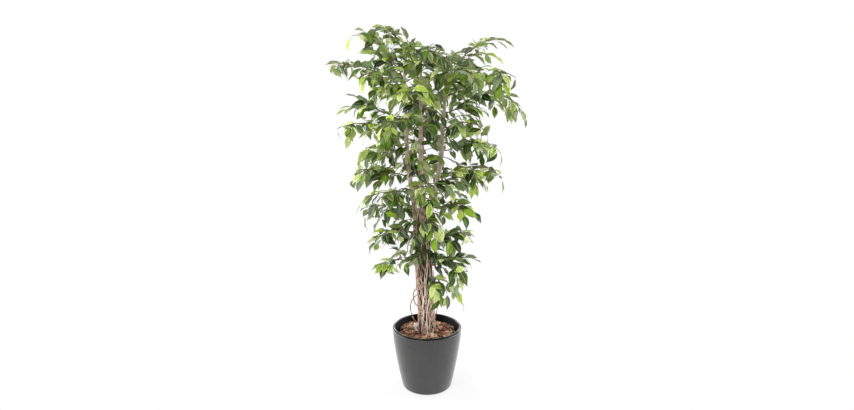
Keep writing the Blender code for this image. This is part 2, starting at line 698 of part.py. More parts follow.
class Branch:
    """A main shoot with side shoots and leaves, grown from its seat on the wood."""

    def __init__(self, number, row, wood):
        stem_name, height, azimuth, length, lift, droop = row
        self.name = f"leafy_branch_{number + 1:02d}"
        self.rng = random.Random(500 + number)
        self.lift, self.droop, self.length = math.radians(lift), math.radians(droop), length
        self.stem_name, self.height = stem_name, height
        self.azimuth = math.radians(azimuth)
        self.wood = wood
        self.side_shoots = {}  # (station, side) to shoot
        self.leaves = {}  # (shoot, station, side) to leaf

    def seat(self, azimuth):
        centre = stem_centre(self.stem_name, self.height)
        return seat_on(self.wood, centre, azimuth, TWIG_RADIUS[0])

    def lay_shoots(self, taken):
        """Places the main shoot, then its side shoots, clear of all that is there."""
        for swing in SWINGS:
            azimuth = self.azimuth + math.radians(swing)
            start = self.seat(azimuth)
            self.main = Shoot(
                start, azimuth, self.lift, self.droop, self.length, MAIN_BARE, TWIG_RADIUS
            )
            if taken.meets(self.main.guard(CLEAR_OF_WOOD)):
                continue
            if not taken.meets(self.main.guard(), but="wood"):
                break
        else:
            raise ValueError(f"{self.name} finds no room")
        taken.add(self.main.guard(), self.main)
        hand = self.rng.choice((LEFT, RIGHT))
        for index, along in enumerate(self.main.stations[:-1]):
            if index % 4 != 3:
                hand = -hand
                self.lay_side_shoot(index, along, hand, taken)

    def lay_side_shoot(self, index, along, hand, taken):
        rng = self.rng
        point, _, _ = self.main.at(along)
        share = along / self.length
        slope = self.lift - self.droop * share**DROOP_POWER
        length = rng.uniform(*SIDE_LENGTH) * (1.15 - 0.5 * share)
        for _ in range(SIDE_TRIES):
            shoot = Shoot(
                point,
                self.main.azimuth - hand * rng.uniform(*SIDE_ANGLE),
                slope + rng.uniform(*SIDE_SLOPE),
                self.droop * 0.6,
                length,
                SIDE_BARE,
                [radius * SIDE_TWIG_SHARE for radius in TWIG_RADIUS],
            )
            if taken.meets(shoot.guard(SIDE_BASE)):
                continue
            if not taken.meets(shoot.guard(SIDE_BASE / 3), but=self.main):
                taken.add(shoot.guard(SIDE_BASE / 3), shoot)
                self.side_shoots[(index, hand)] = shoot
                break

    def lay_leaves(self, taken):
        """Gives each free place on the shoots a leaf, where one fits."""
        for shoot in (self.main, *self.side_shoots.values()):
            for index, along in enumerate(shoot.stations):
                for hand in (RIGHT, LEFT, BELOW):
                    if shoot is self.main and (index, hand) in self.side_shoots:
                        continue
                    leaf = self.fitting_leaf(shoot, along, hand, taken)
                    if leaf:
                        self.leaves[(shoot, index, hand)] = leaf
            tip = self.fitting_leaf(shoot, shoot.length, AHEAD, taken)
            if tip:
                self.leaves[(shoot, AHEAD)] = tip

    def fitting_leaf(self, shoot, along, hand, taken):
        rng = self.rng
        point, tangent, top = shoot.at(along)
        size = rng.uniform(*LEAF_LENGTH) * between(1.0, TIP_LEAF_SHARE, along / shoot.length)
        for attempt in range(LEAF_TRIES):
            loose = 1.0 + attempt * 0.07
            heading = tangent * rng.uniform(0.30, 0.75) - UP * rng.uniform(0.15, 0.95)
            heading *= 1.0 / loose
            if hand == AHEAD:
                root = tangent
                heading += tangent * 0.8 + shoot.side * rng.uniform(-0.3, 0.3) * loose
            elif hand == BELOW:
                root = -top
                heading += root * 0.7 + shoot.side * rng.uniform(-0.5, 0.5) * loose
            else:
                root = shoot.side * hand
                heading += root * rng.uniform(0.65, 1.0)
            jitter = Vector([rng.uniform(-0.14, 0.14) * loose for _ in range(3)])
            facing = UP * 0.75 + shoot.out * rng.uniform(0.3, 0.9)
            facing += shoot.side * rng.uniform(-0.5, 0.5) * loose
            leaf = Leaf(point + root * LEAF_ROOT, heading.normalized() + jitter, facing, size)
            if not leaf.leaves_facet(root if hand in (AHEAD, BELOW) else root * 0.866 + top * 0.5):
                continue
            if not taken.meets(leaf.guard(), but=shoot) and not taken.meets(leaf.guard(0.007)):
                taken.add(leaf.guard(), leaf)
                return leaf
            size *= 0.99
        return None

    def build(self):
        """The branch as one closed mesh: facets of the twigs are drawn out into shoots
        and leaves."""
        bm = bmesh.new()
        first = [bm.verts.new(corner) for corner in self.main.ring(0.0)]
        cap = drawn_out(bm, bm.faces.new(first), self.main.ring(0.02))
        bm.faces.new(first[::-1])  # the drawn-out facet left the butt open
        self.grow(bm, cap, self.main)
        return show(self.name, mesh_of(bm, self.name), "foliage")

    def grow(self, bm, cap, shoot):
        """Extends a shoot from its cap, station by station."""
        for index, along in enumerate(shoot.stations):
            cap = drawn_out(bm, cap, shoot.ring(along - NODE_HALF))
            cap = drawn_out(bm, cap, shoot.ring(along + NODE_HALF))
            for hand, quad in side_quads(cap, shoot.side):
                child = self.side_shoots.get((index, hand)) if shoot is self.main else None
                leaf = self.leaves.get((shoot, index, hand))
                if child:
                    rings = turns(child.ring(SIDE_BASE))
                    self.grow(bm, branched_off(bm, larger_facet(bm, quad), rings), child)
                elif leaf:
                    branched_off(bm, larger_facet(bm, quad), leaf.rings())
        end = drawn_out(bm, cap, shoot.ring(shoot.length))
        leaf = self.leaves.get((shoot, AHEAD))
        if leaf:
            branched_off(bm, end, leaf.rings())


def extruded(bm, face, corners):
    """Extrudes one facet and puts the new one's corners in place."""
    grown = bmesh.ops.extrude_discrete_faces(bm, faces=[face])["faces"][0]
    for vert, corner in zip(grown.verts, corners):
        vert.co = corner
    return grown


def drawn_out(bm, face, ring):
    """Extrudes a facet to a ring of three corners, each taking its nearest one."""
    corners = [vert.co.copy() for vert in face.verts]

    def travel(turn):
        return sum((corners[i] - ring[(i + turn) % 3]).length for i in range(3))

    turn = min(range(3), key=travel)
    return extruded(bm, face, [ring[(i + turn) % 3] for i in range(3)])


def side_quads(cap, side):
    """The quads of the stretch that ends in this cap, each with its side of the shoot."""
    edges = sorted(cap.edges, key=lambda edge: (edge.verts[0].co + edge.verts[1].co).dot(side))
    for hand, edge in zip((LEFT, BELOW, RIGHT), edges):
        yield hand, next(face for face in edge.link_faces if face is not cap)


def larger_facet(bm, quad):
    """Splits a quad and returns the larger of its two facets."""
    facets = bmesh.ops.triangulate(bm, faces=[quad])["faces"]
    return max(facets, key=lambda facet: facet.calc_area())


def turns(corners):
    """The three ways to start a ring of corners."""
    return [corners[turn:] + corners[:turn] for turn in range(3)]


def branched_off(bm, facet, rings):
    """Draws a facet out to one of some rings of three corners. The body between them is
    three tetrahedra round one diagonal, so it can't fold through itself where each has
    its own wedge: the ring and the diagonal are those that leave the widest wedges."""
    roots = list(facet.verts)
    base = [vert.co.copy() for vert in roots]
    ways = [(ring, order) for ring in rings for order in permutations(range(3))]
    ring, (i, j, k) = max(ways, key=lambda way: narrowest_wedge(base, *way))
    heads = [bm.verts.new(corner) for corner in ring]
    bm.faces.remove(facet)
    for low, high in ((i, j), (j, k), (i, k)):
        for triangle in (
            (roots[low], roots[high], heads[high]),
            (roots[low], heads[high], heads[low]),
        ):
            with_facet = (low + 1) % 3 == high
            bm.faces.new(triangle if with_facet else triangle[::-1])
    return bm.faces.new(heads)


def narrowest_wedge(base, ring, order):
    """How clearly three tetrahedra fill their own wedges round the diagonal: the least
    sine of a wedge, or the gap that is left. It is below zero where one is inside out."""
    i, j, k = order
    diagonal = (ring[k] - base[i]).normalized()
    hand = 1.0 if (i + 1) % 3 == j else -1.0
    spokes = [point - base[i] for point in (ring[i], ring[j], base[j], base[k])]
    spokes = [spoke - diagonal * spoke.dot(diagonal) for spoke in spokes]
    wedges = []
    for first, second in zip(spokes, spokes[1:]):
        sweep = hand * diagonal.dot(first.cross(second))
        wedges.append(math.atan2(sweep, first.dot(second)))
    return min(*map(math.sin, wedges), math.tau - sum(wedges))


def leafy_branches(wood, taken):
    """Every branch lays its shoots before any lays its leaves, so twigs get the room."""
    branches = [Branch(number, row, wood) for number, row in enumerate(BRANCHES)]
    for branch in branches:
        branch.lay_shoots(taken)
    for branch in branches:
        branch.lay_leaves(taken)
    for branch in branches:
        branch.build()
    leaves = sum(len(branch.leaves) for branch in branches)
    print(f"{leaves} leaves on {len(branches)} branches")


def main():
    for obj in list(bpy.data.objects):
        bpy.data.objects.remove(obj)
    mulch = coir_mulch()
    ground = [planter(), planter_liner(), potting_soil(), mulch, pale_stub(mulch)]
    sticks = [stem(name) for name in STEMS]
    sticks += [liana(number) for number in range(LIANA_COUNT)]
    sticks += [winding_vine(name) for name in WINDING_VINES]
    wood = Taken(sticks)
    roots = [
        bowed_root("aerial_root_loop", wood),
        hanging_root("aerial_root_long", wood),
        basal_twig("basal_twig", wood),
    ]
    leafy_branches(wood, Taken(ground + sticks + roots))


main()
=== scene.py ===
"""Looks of the potted ficus: pots, mulch, bark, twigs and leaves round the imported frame."""

import json
import logging
import math
import random
from collections import defaultdict
from dataclasses import dataclass, field, replace
from enum import Enum
from itertools import product

import bmesh
import bpy
import numpy as np
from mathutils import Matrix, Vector, noise
from mathutils.bvhtree import BVHTree

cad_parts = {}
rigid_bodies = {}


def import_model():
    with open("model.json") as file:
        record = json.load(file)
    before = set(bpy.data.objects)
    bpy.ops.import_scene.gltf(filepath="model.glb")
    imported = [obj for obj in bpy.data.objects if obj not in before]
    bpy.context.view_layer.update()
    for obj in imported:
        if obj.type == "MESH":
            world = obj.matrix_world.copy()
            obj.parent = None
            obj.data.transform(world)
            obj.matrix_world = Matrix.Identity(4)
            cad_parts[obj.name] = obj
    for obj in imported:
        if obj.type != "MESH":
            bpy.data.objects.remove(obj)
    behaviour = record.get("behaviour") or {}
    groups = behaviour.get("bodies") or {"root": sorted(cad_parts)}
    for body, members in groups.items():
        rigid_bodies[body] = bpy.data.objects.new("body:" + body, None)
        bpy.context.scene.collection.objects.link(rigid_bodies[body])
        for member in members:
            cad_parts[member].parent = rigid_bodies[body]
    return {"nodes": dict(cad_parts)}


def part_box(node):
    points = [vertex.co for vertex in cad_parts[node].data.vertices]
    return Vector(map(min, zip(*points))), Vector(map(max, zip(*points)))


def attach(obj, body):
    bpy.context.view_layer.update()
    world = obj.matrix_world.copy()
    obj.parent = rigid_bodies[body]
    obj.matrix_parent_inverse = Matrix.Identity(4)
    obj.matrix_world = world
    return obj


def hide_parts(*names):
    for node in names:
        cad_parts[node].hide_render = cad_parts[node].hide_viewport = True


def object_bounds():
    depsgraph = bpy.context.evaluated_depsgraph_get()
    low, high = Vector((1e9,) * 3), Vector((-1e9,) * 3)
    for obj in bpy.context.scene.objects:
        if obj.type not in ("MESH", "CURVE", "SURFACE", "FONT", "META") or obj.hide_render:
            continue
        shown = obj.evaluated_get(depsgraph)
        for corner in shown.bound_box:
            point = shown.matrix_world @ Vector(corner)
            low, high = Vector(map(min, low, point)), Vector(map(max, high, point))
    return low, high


for leftover in list(bpy.data.objects):
    bpy.data.objects.remove(leftover)
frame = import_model()
CAD_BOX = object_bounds()

LOG = logging.getLogger("ficus")
Colour = tuple[float, float, float, float]
Span = tuple[float, float]
Faces = list[tuple[int, ...]]  # each face's corner numbers
Array = np.ndarray
Chance = np.random.RandomState
Socket, Material = bpy.types.NodeSocket, bpy.types.Material
Mesh, Piece = bpy.types.Mesh, bpy.types.Object
UP = np.array((0.0, 0.0, 1.0))
WHITE = (1.0, 1.0, 1.0, 1.0)
LINER_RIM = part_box("planter_liner")[1].z
BOX_INSET = 0.004  # how far inside the CAD box added leaves stay
BOX_LOW, BOX_HIGH = np.array(CAD_BOX[0]) + BOX_INSET, np.array(CAD_BOX[1]) - BOX_INSET
WELD = 2e-5  # how close split corners of a CAD node lie
SAME_PLANE = 0.9995  # how alike the normals of two faces in one plane are
CURVE_SAMPLES = 12  # points between two points of a line before it is evened out
FIRST_SIDE = (0.37, 0.93, 0.05)  # a way that no stick runs, to start its rings from

# Names of the CAD nodes
STEMS = ("stem_left", "stem_centre", "stem_right", "stem_back")
LIANAS = tuple(f"liana_{number}" for number in range(1, 9))
VINES = ("winding_vine_1", "winding_vine_2")
ROOTS = ("aerial_root_loop", "aerial_root_long")
TWIG = ("basal_twig",)
BRANCHES = tuple(name for name in sorted(frame["nodes"]) if name.startswith("leafy_branch"))

# Parts of the stems that no added leaf hides: each stem with two heights
STEMS_IN_VIEW = (
    ("stem_left", 1.20, 1.30), ("stem_centre", 1.21, 1.34), ("stem_right", 1.18, 1.32),
    ("stem_left", 0.80, 0.98), ("stem_centre", 0.80, 0.92),
)
WINDOW_HALF = 0.013  # how far that holds to each side


class Slot(Enum):
    """The record's material slots, one for each kind of finish."""

    PLANTER = "planter"
    LINER = "liner"
    MULCH = "mulch"
    BARK = "bark"
    PALE_WOOD = "pale_wood"
    FOLIAGE = "foliage"


def srgb(red: float, green: float, blue: float) -> Colour:
    """A linear colour from display values of 0 to 255."""
    shares = (value / 255.0 for value in (red, green, blue))
    return (*(s / 12.92 if s <= 0.04045 else ((s + 0.055) / 1.055) ** 2.4 for s in shares), 1.0)


def smooth(share: Array | float) -> Array | float:
    """An eased share, held between 0 and 1."""
    share = np.clip(share, 0.0, 1.0)
    return share * share * (3.0 - 2.0 * share)


def unit(rows: Array) -> Array:
    """Rows scaled to length 1."""
    return rows / np.maximum(np.linalg.norm(rows, axis=-1, keepdims=True), 1e-12)


def angles(sides: int) -> Array:
    """Even angles round a circle."""
    return np.linspace(0.0, math.tau, sides, endpoint=False)


def circle(sides: int) -> Array:
    """Even points round a circle of radius 1."""
    return np.stack((np.cos(angles(sides)), np.sin(angles(sides))), axis=-1)


# ---- Shader nodes ----
class Maths(Enum):
    """The sums that the materials use."""

    ADD = "ADD"
    SUBTRACT = "SUBTRACT"
    MULTIPLY = "MULTIPLY"
    SINE = "SINE"
    ABSOLUTE = "ABSOLUTE"
    MAXIMUM = "MAXIMUM"


class Bench:
    """Lays out the shader nodes of a material, or of the world."""

    def __init__(self, holder: Material | bpy.types.World) -> None:
        """Starts with no nodes.

        Args:
            holder: The material or the world.
        """
        holder.use_nodes = True
        self.holder = holder
        self.tree = holder.node_tree
        self.tree.nodes.clear()

    def node(self, kind: str, wires: dict | None = None, **settings: object) -> bpy.types.Node:
        """Adds a node.

        Args:
            kind: The node's type.
            wires: Input names or numbers, each with a socket to link or a value to set.
            settings: The node's own properties.

        Returns:
            The new node.
        """
        made = self.tree.nodes.new(kind)
        for key, value in settings.items():
            setattr(made, key, value)
        for key, value in (wires or {}).items():
            if isinstance(value, Socket):
                self.tree.links.new(value, made.inputs[key])
            else:
                made.inputs[key].default_value = value
        return made

    def attribute(self, name: str) -> bpy.types.Node:
        """The node that reads one of the mesh's own attributes."""
        return self.node("ShaderNodeAttribute", attribute_name=name)

    def parts(self, name: str) -> tuple[Socket, Socket, Socket]:
        """The three numbers of a vector attribute."""
        split = self.node("ShaderNodeSeparateXYZ", {0: self.attribute(name).outputs["Vector"]})
        return split.outputs[0], split.outputs[1], split.outputs[2]

    def place(self) -> Socket:
        """Object coordinates, in metres."""
        return self.node("ShaderNodeTexCoord").outputs["Object"]

    def noise(self, place: Socket, scale: float, detail: float = 4.0, rough: float = 0.6) -> Socket:
        """Noise round 0.5: features for each unit of place, finer layers and their weight."""
        wires = {"Vector": place, "Scale": scale, "Detail": detail, "Roughness": rough}
        return self.node("ShaderNodeTexNoise", wires).outputs["Fac"]

    def stretched(self, place: Socket, scale: tuple[float, float, float]) -> Socket:
        """The same place with each axis scaled, which stretches the pattern read there."""
        return self.node("ShaderNodeMapping", {"Vector": place, "Scale": scale}).outputs[0]

    def cells(self, place: Socket, scale: float) -> Socket:
        """The distance to the nearest of scattered points."""
        return self.node("ShaderNodeTexVoronoi", {"Vector": place, "Scale": scale}).outputs[0]

    def sum(self, kind: Maths, first: Socket | float, second: Socket | float = 0.0) -> Socket:
        """A sum of two values, held between 0 and 1 only by what reads it."""
        return self.node("ShaderNodeMath", {0: first, 1: second}, operation=kind.value).outputs[0]

    def plus(self, first: Socket, second: Socket) -> Socket:
        """Two values added."""
        return self.sum(Maths.ADD, first, second)

    def minus(self, first: Socket, second: Socket) -> Socket:
        """The second value taken from the first."""
        return self.sum(Maths.SUBTRACT, first, second)

    def times(self, first: Socket, second: Socket | float) -> Socket:
        """Two values multiplied."""
        return self.sum(Maths.MULTIPLY, first, second)

    def in_view(self) -> Socket:
        """Tells what is seen, directly, mirrored or through glass, from what only gives light.

        Returns:
            1 or 0.
        """
        rays = self.node("ShaderNodeLightPath").outputs
        seen = self.sum(Maths.MAXIMUM, rays["Is Camera Ray"], rays["Is Glossy Ray"])
        return self.sum(Maths.MAXIMUM, seen, rays["Is Transmission Ray"])

    def ranged(self, value: Socket, low: float, high: float, to: Span = (0.0, 1.0)) -> Socket:
        """A value carried smoothly from the range between low and high to another range."""
        wires = {0: value, 1: low, 2: high, 3: to[0], 4: to[1]}
        return self.node("ShaderNodeMapRange", wires, interpolation_type="SMOOTHSTEP").outputs[0]

    def ramp(self, value: Socket, stops: list[tuple[float, Colour]]) -> Socket:
        """A colour that changes with a value.

        Args:
            value: The value, from 0 to 1.
            stops: Places and their colours, in order.

        Returns:
            The colour.
        """
        made = self.node("ShaderNodeValToRGB", {0: value})
        points = made.color_ramp.elements
        while len(points) < len(stops):
            points.new(1.0)
        for point, (place, colour) in zip(points, stops):
            point.position, point.color = place, colour
        return made.outputs[0]

    def mixed(
        self, share: Socket | float, first: Socket | Colour, second: Socket | Colour
    ) -> Socket:
        """Two colours joined; the share says how much of the second shows."""
        wires = {0: share, 6: first, 7: second}  # 6, 7 and output 2 are the node's colours
        return self.node("ShaderNodeMix", wires, data_type="RGBA").outputs[2]

    def bump(self, height: Socket, depth: float, strength: float = 1.0) -> Socket:
        """A normal from a height pattern whose full range is depth, in metres."""
        wires = {"Height": height, "Distance": depth, "Strength": strength}
        return self.node("ShaderNodeBump", wires).outputs[0]

    def finished(self, **sockets: object) -> Material:
        """Ends the material with a Principled surface.

        Args:
            sockets: The surface's inputs, with underscores for spaces.

        Returns:
            The material.
        """
        wires = {key.replace("_", " "): value for key, value in sockets.items()}
        surface = self.node("ShaderNodeBsdfPrincipled", wires)
        self.node("ShaderNodeOutputMaterial", {0: surface.outputs[0]})
        return self.holder


# ---- Finishes ----
@dataclass(frozen=True)
class BarkFinish:
    """Fibrous bark: streaks along the stick, with painted shade where its skin dips and between the
    sticks of the bundle.
    """

    name: str
    dark: Colour
    middle: Colour
    light: Colour
    young: Colour
    # painted shade colour for what lies deep between the sticks
    gap: Colour = srgb(62, 34, 22)
    rose: Colour = srgb(234, 192, 170)
    fibre_share: float = 0.55
    # how much painted shade darkens the dips of the skin
    crevice_shade_share: float = 0.45
    crack_share: float = 0.45
    roughness: Span = (0.88, 0.66)
    depth: float = 0.0012
    gloss: float = 0.20

    def material(self) -> Material:
        """Mixes the bark's colours by its fibres, cracks and age, with painted shade from its
        relief and between the sticks.

        Returns:
            The material.
        """
        bench = Bench(bpy.data.materials.new(self.name))
        grain = bench.attribute("grain").outputs["Vector"]
        # the skin's first number is the painted shade of its dips, its last the painted shade
        # between the sticks
        relief, youth, painted_shade = bench.parts("skin")
        shift, rosy, _ = bench.parts("own")
        fibres = bench.noise(grain, 1.0, 5.0, 0.68)
        patches = bench.noise(bench.place(), 38.0, 3.0)
        fissures = bench.noise(bench.stretched(grain, (0.55, 0.55, 0.30)), 1.0, 3.0, 0.5)
        tone = bench.times(fibres, self.fibre_share)
        # painted shade: darker in the skin's dips, lighter on its swells
        tone = bench.plus(tone, bench.times(relief, self.crevice_shade_share))
        tone = bench.plus(tone, bench.ranged(patches, 0.3, 0.7, (-0.10, 0.10)))
        tone = bench.plus(tone, shift)
        colour = bench.ramp(tone, [(0.24, self.dark), (0.50, self.middle), (0.74, self.light)])
        cracks = bench.ranged(fissures, 0.56, 0.66)
        colour = bench.mixed(rosy, colour, bench.mixed(tone, self.dark, self.rose))
        colour = bench.mixed(bench.times(cracks, self.crack_share), colour, self.dark)
        colour = bench.mixed(youth, colour, bench.mixed(tone, self.middle, self.young))
        # painted shade between the sticks of the bundle
        colour = bench.mixed(painted_shade, colour, self.gap)
        height = bench.minus(fibres, bench.times(cracks, 0.5))
        return bench.finished(
            Base_Color=colour,
            Roughness=bench.ranged(fibres, 0.2, 0.8, self.roughness),
            Normal=bench.bump(height, self.depth),
            Specular_IOR_Level=self.gloss,
        )


@dataclass(frozen=True)
class LeafFinish:
    """A waxy leaf: tone by leaf, pale midrib and veins, lime margins, a dull underside."""

    name: str = "leaf"
    deep: Colour = srgb(18, 38, 2)
    green: Colour = srgb(80, 108, 20)
    fresh: Colour = srgb(162, 188, 84)
    lime: Colour = srgb(224, 238, 148)
    margin: Colour = srgb(228, 238, 162)
    rib: Colour = srgb(196, 212, 140)
    underside: Colour = srgb(176, 192, 146)
    vivid: tuple[Colour, ...] = (
        srgb(18, 44, 0), srgb(72, 112, 0), srgb(136, 178, 12), srgb(190, 220, 58)
    )
    # painted sheen: bluish grey colours that stand in for the gloss of some leaves
    painted_sheen: tuple[Colour, ...] = (
        srgb(30, 48, 34), srgb(88, 108, 74), srgb(156, 172, 126), srgb(214, 224, 174)
    )
    stops: tuple[float, ...] = (0.0, 0.35, 0.68, 1.0)
    vein_count: float = 76.0
    vein_share: float = 0.11
    rib_share: float = 0.55
    under_share: float = 0.62
    roughness: Span = (0.62, 0.36)
    depth: float = 0.0005
    gloss: float = 0.22
    wax: float = 0.16
    wax_roughness: float = 0.22

    def material(self) -> Material:
        """Mixes the leaf's colours by its tone, painted sheen, margin, veins and side.

        Returns:
            The material.
        """
        bench = Bench(bpy.data.materials.new(self.name))
        across, along, top = bench.parts("blade")
        tone, edging, seed = bench.parts("tone")
        from_rib = bench.sum(Maths.ABSOLUTE, across)
        mottle = bench.noise(bench.place(), 120.0, 3.0)
        shade = bench.plus(tone, bench.ranged(mottle, 0.3, 0.7, (-0.07, 0.07)))
        plain = (self.deep, self.green, self.fresh, self.lime)
        colour, painted_sheen, vivid = (
            bench.ramp(shade, list(zip(self.stops, kind)))
            for kind in (plain, self.painted_sheen, self.vivid)
        )
        # painted sheen on the leaves with the lowest seeds
        colour = bench.mixed(bench.ranged(seed, 0.25, 0.15), colour, painted_sheen)
        colour = bench.mixed(bench.ranged(seed, 0.66, 0.76), colour, vivid)
        border = bench.plus(from_rib, bench.ranged(mottle, 0.35, 0.65, (-0.22, 0.22)))
        border = bench.times(bench.ranged(border, 0.42, 0.78), edging)
        colour = bench.mixed(border, colour, self.margin)
        slant = bench.minus(along, bench.times(from_rib, 0.16))
        ripple = bench.sum(Maths.SINE, bench.times(slant, self.vein_count))
        veins = bench.ranged(ripple, 0.72, 1.0)
        rib = bench.ranged(from_rib, 0.10, 0.02)
        colour = bench.mixed(bench.times(veins, self.vein_share), colour, self.rib)
        colour = bench.mixed(bench.times(rib, self.rib_share), colour, self.rib)
        below = bench.mixed(self.under_share, colour, self.underside)
        colour = bench.mixed(top, below, colour)
        height = bench.plus(bench.times(veins, -0.5), mottle)
        height = bench.minus(height, rib)
        dull = bench.ranged(top, 0.0, 1.0, self.roughness)
        return bench.finished(
            Base_Color=colour,
            Roughness=bench.plus(dull, bench.ranged(seed, 0.0, 1.0, (-0.05, 0.09))),
            Normal=bench.bump(height, self.depth, 0.7),
            Specular_IOR_Level=self.gloss,
            Coat_Weight=bench.ranged(top, 0.4, 0.6, (0.0, self.wax)),
            Coat_Roughness=self.wax_roughness,
        )


@dataclass(frozen=True)
class CoirFinish:
    """Coir and bark crumbs: fibrous, dusty and uneven in colour, with painted shade low down."""

    name: str
    dark: Colour
    middle: Colour
    light: Colour
    fibre_share: float = 0.60
    lump_share: float = 0.34
    roughness: float = 0.92
    depth: float = 0.0022
    gloss: float = 0.12

    def material(self) -> Material:
        """Mixes the mulch's colours by fibres, clods, pits and painted shade by height.

        Returns:
            The material.
        """
        bench = Bench(bpy.data.materials.new(self.name))
        place = bench.place()
        # lift paints shade and light by height: low for what lies low, high for what lies on top
        lump, lift, _ = bench.parts("lump")
        fibres = bench.noise(bench.stretched(place, (260.0, 260.0, 700.0)), 1.0, 5.0, 0.7)
        grains = bench.cells(place, 420.0)
        tone = bench.times(fibres, self.fibre_share)
        clods = bench.noise(place, 130.0, 3.0, 0.6)
        tone = bench.plus(tone, bench.ranged(clods, 0.34, 0.66, (-0.16, 0.12)))
        tone = bench.plus(tone, bench.times(lump, self.lump_share))
        # painted shade low on the lumps and on the bed between them, painted light on their tops
        tone = bench.plus(tone, bench.ranged(lift, 0.15, 0.95, (-0.46, 0.13)))
        colour = bench.ramp(tone, [(0.16, self.dark), (0.46, self.middle), (0.72, self.light)])
        pits = bench.ranged(grains, 0.55, 0.15)
        colour = bench.mixed(bench.times(pits, 0.25), colour, self.dark)
        height = bench.minus(fibres, bench.times(pits, 0.3))
        return bench.finished(
            Base_Color=colour,
            Roughness=self.roughness,
            Normal=bench.bump(height, self.depth),
            Specular_IOR_Level=self.gloss,
        )


@dataclass(frozen=True)
class PotFinish:
    """Moulded plastic: a fine stipple, faint scuffs and a change of sheen over large patches."""

    name: str
    body: Colour
    scuffed: Colour
    roughness: Span
    stipple: float
    coat: float
    speck: float = 0.0
    gloss: float = 0.5
    polished: Span | None = None
    speck_colour: Colour = srgb(168, 170, 172)
    worn_roughness: float = 0.18
    coat_roughness: float = 0.16

    def material(self) -> Material:
        """Mixes the pot's colours; it is polished above the heights given, if any are.

        Returns:
            The material.
        """
        bench = Bench(bpy.data.materials.new(self.name))
        place = bench.place()
        clouds = bench.noise(place, 9.0, 4.0, 0.55)
        fine = bench.noise(place, 900.0, 2.0, 0.5)
        scuffs = bench.noise(bench.stretched(place, (30.0, 30.0, 240.0)), 1.0, 4.0, 0.7)
        worn = bench.ranged(scuffs, 0.60, 0.78, (0.0, 0.35))
        colour = bench.mixed(bench.ranged(clouds, 0.3, 0.7), self.body, self.scuffed)
        colour = bench.mixed(worn, colour, self.scuffed)
        if self.speck:
            specks = bench.ranged(bench.noise(place, 1500.0, 1.0), 0.62, 0.74, (0.0, self.speck))
            colour = bench.mixed(specks, colour, self.speck_colour)
        rough = bench.ranged(clouds, 0.3, 0.7, self.roughness)
        rough = bench.plus(rough, bench.times(worn, self.worn_roughness))
        coat: Socket | float = self.coat
        if self.polished:
            height = bench.node("ShaderNodeSeparateXYZ", {0: place}).outputs[2]
            coat = bench.ranged(height, *self.polished, (0.0, self.coat))
        return bench.finished(
            Base_Color=colour,
            Roughness=rough,
            Normal=bench.bump(fine, self.stipple, 0.6),
            Specular_IOR_Level=self.gloss,
            Coat_Weight=coat,
            Coat_Roughness=self.coat_roughness,
        )


@dataclass(frozen=True)
class SoilFinish:
    """Dark damp potting soil."""

    name: str = "damp_soil"
    dark: Colour = srgb(38, 27, 20)
    light: Colour = srgb(82, 60, 44)
    roughness: float = 0.95
    depth: float = 0.003

    def material(self) -> Material:
        """Mixes the soil's colours by its crumbs.

        Returns:
            The material.
        """
        bench = Bench(bpy.data.materials.new(self.name))
        crumbs = bench.noise(bench.place(), 180.0, 6.0, 0.72)
        colour = bench.ramp(crumbs, [(0.35, self.dark), (0.68, self.light)])
        return bench.finished(
            Base_Color=colour, Roughness=self.roughness, Normal=bench.bump(crumbs, self.depth)
        )


@dataclass(frozen=True)
class PaleWoodFinish:
    """Peeled root: cream wood with thin brown grain."""

    name: str = "peeled_root"
    cream: Colour = srgb(255, 253, 250)
    tan: Colour = srgb(244, 232, 218)
    roughness: float = 0.66
    depth: float = 0.0006

    def material(self) -> Material:
        """Mixes the peeled root's colours by its grain and stains.

        Returns:
            The material.
        """
        bench = Bench(bpy.data.materials.new(self.name))
        place = bench.place()
        grain = bench.noise(bench.stretched(place, (520.0, 520.0, 60.0)), 1.0, 5.0, 0.6)
        stains = bench.noise(place, 90.0, 3.0)
        colour = bench.ramp(grain, [(0.36, self.tan), (0.50, self.cream)])
        colour = bench.mixed(bench.ranged(stains, 0.55, 0.75, (0.0, 0.5)), colour, self.tan)
        return bench.finished(
            Base_Color=colour, Roughness=self.roughness, Normal=bench.bump(grain, self.depth)
        )


CHARCOAL = PotFinish(
    "charcoal_shell", body=srgb(36, 36, 35), scuffed=srgb(46, 46, 45),
    roughness=(0.26, 0.34), stipple=0.00010, coat=0.65, speck=0.22,
)
GLOSS_BLACK = PotFinish(
    "black_liner", body=srgb(4, 4, 4), scuffed=srgb(9, 9, 9), roughness=(0.45, 0.60),
    stipple=0.00003, coat=1.0, gloss=0.05, polished=(LINER_RIM - 0.004, LINER_RIM - 0.001),
)
COIR = CoirFinish("coir", srgb(24, 11, 6), srgb(140, 92, 68), srgb(224, 188, 160))
BARK = BarkFinish(
    "bark", dark=srgb(86, 54, 38), middle=srgb(186, 150, 128),
    light=srgb(232, 208, 188), young=srgb(255, 240, 226),
)
VINE_BARK = BarkFinish(
    "vine_bark", dark=srgb(132, 84, 62), middle=srgb(240, 206, 182),
    light=srgb(255, 244, 230), young=srgb(196, 170, 142),
)
PALE_BARK = BarkFinish(
    "pale_bark", dark=srgb(160, 128, 102), middle=srgb(230, 206, 182),
    light=srgb(250, 238, 222), young=srgb(226, 204, 180),
)
TWIG_BARK = BarkFinish(
    "twig_bark", dark=srgb(84, 62, 46), middle=srgb(120, 96, 72),
    light=srgb(176, 150, 118), young=srgb(122, 124, 70),
)


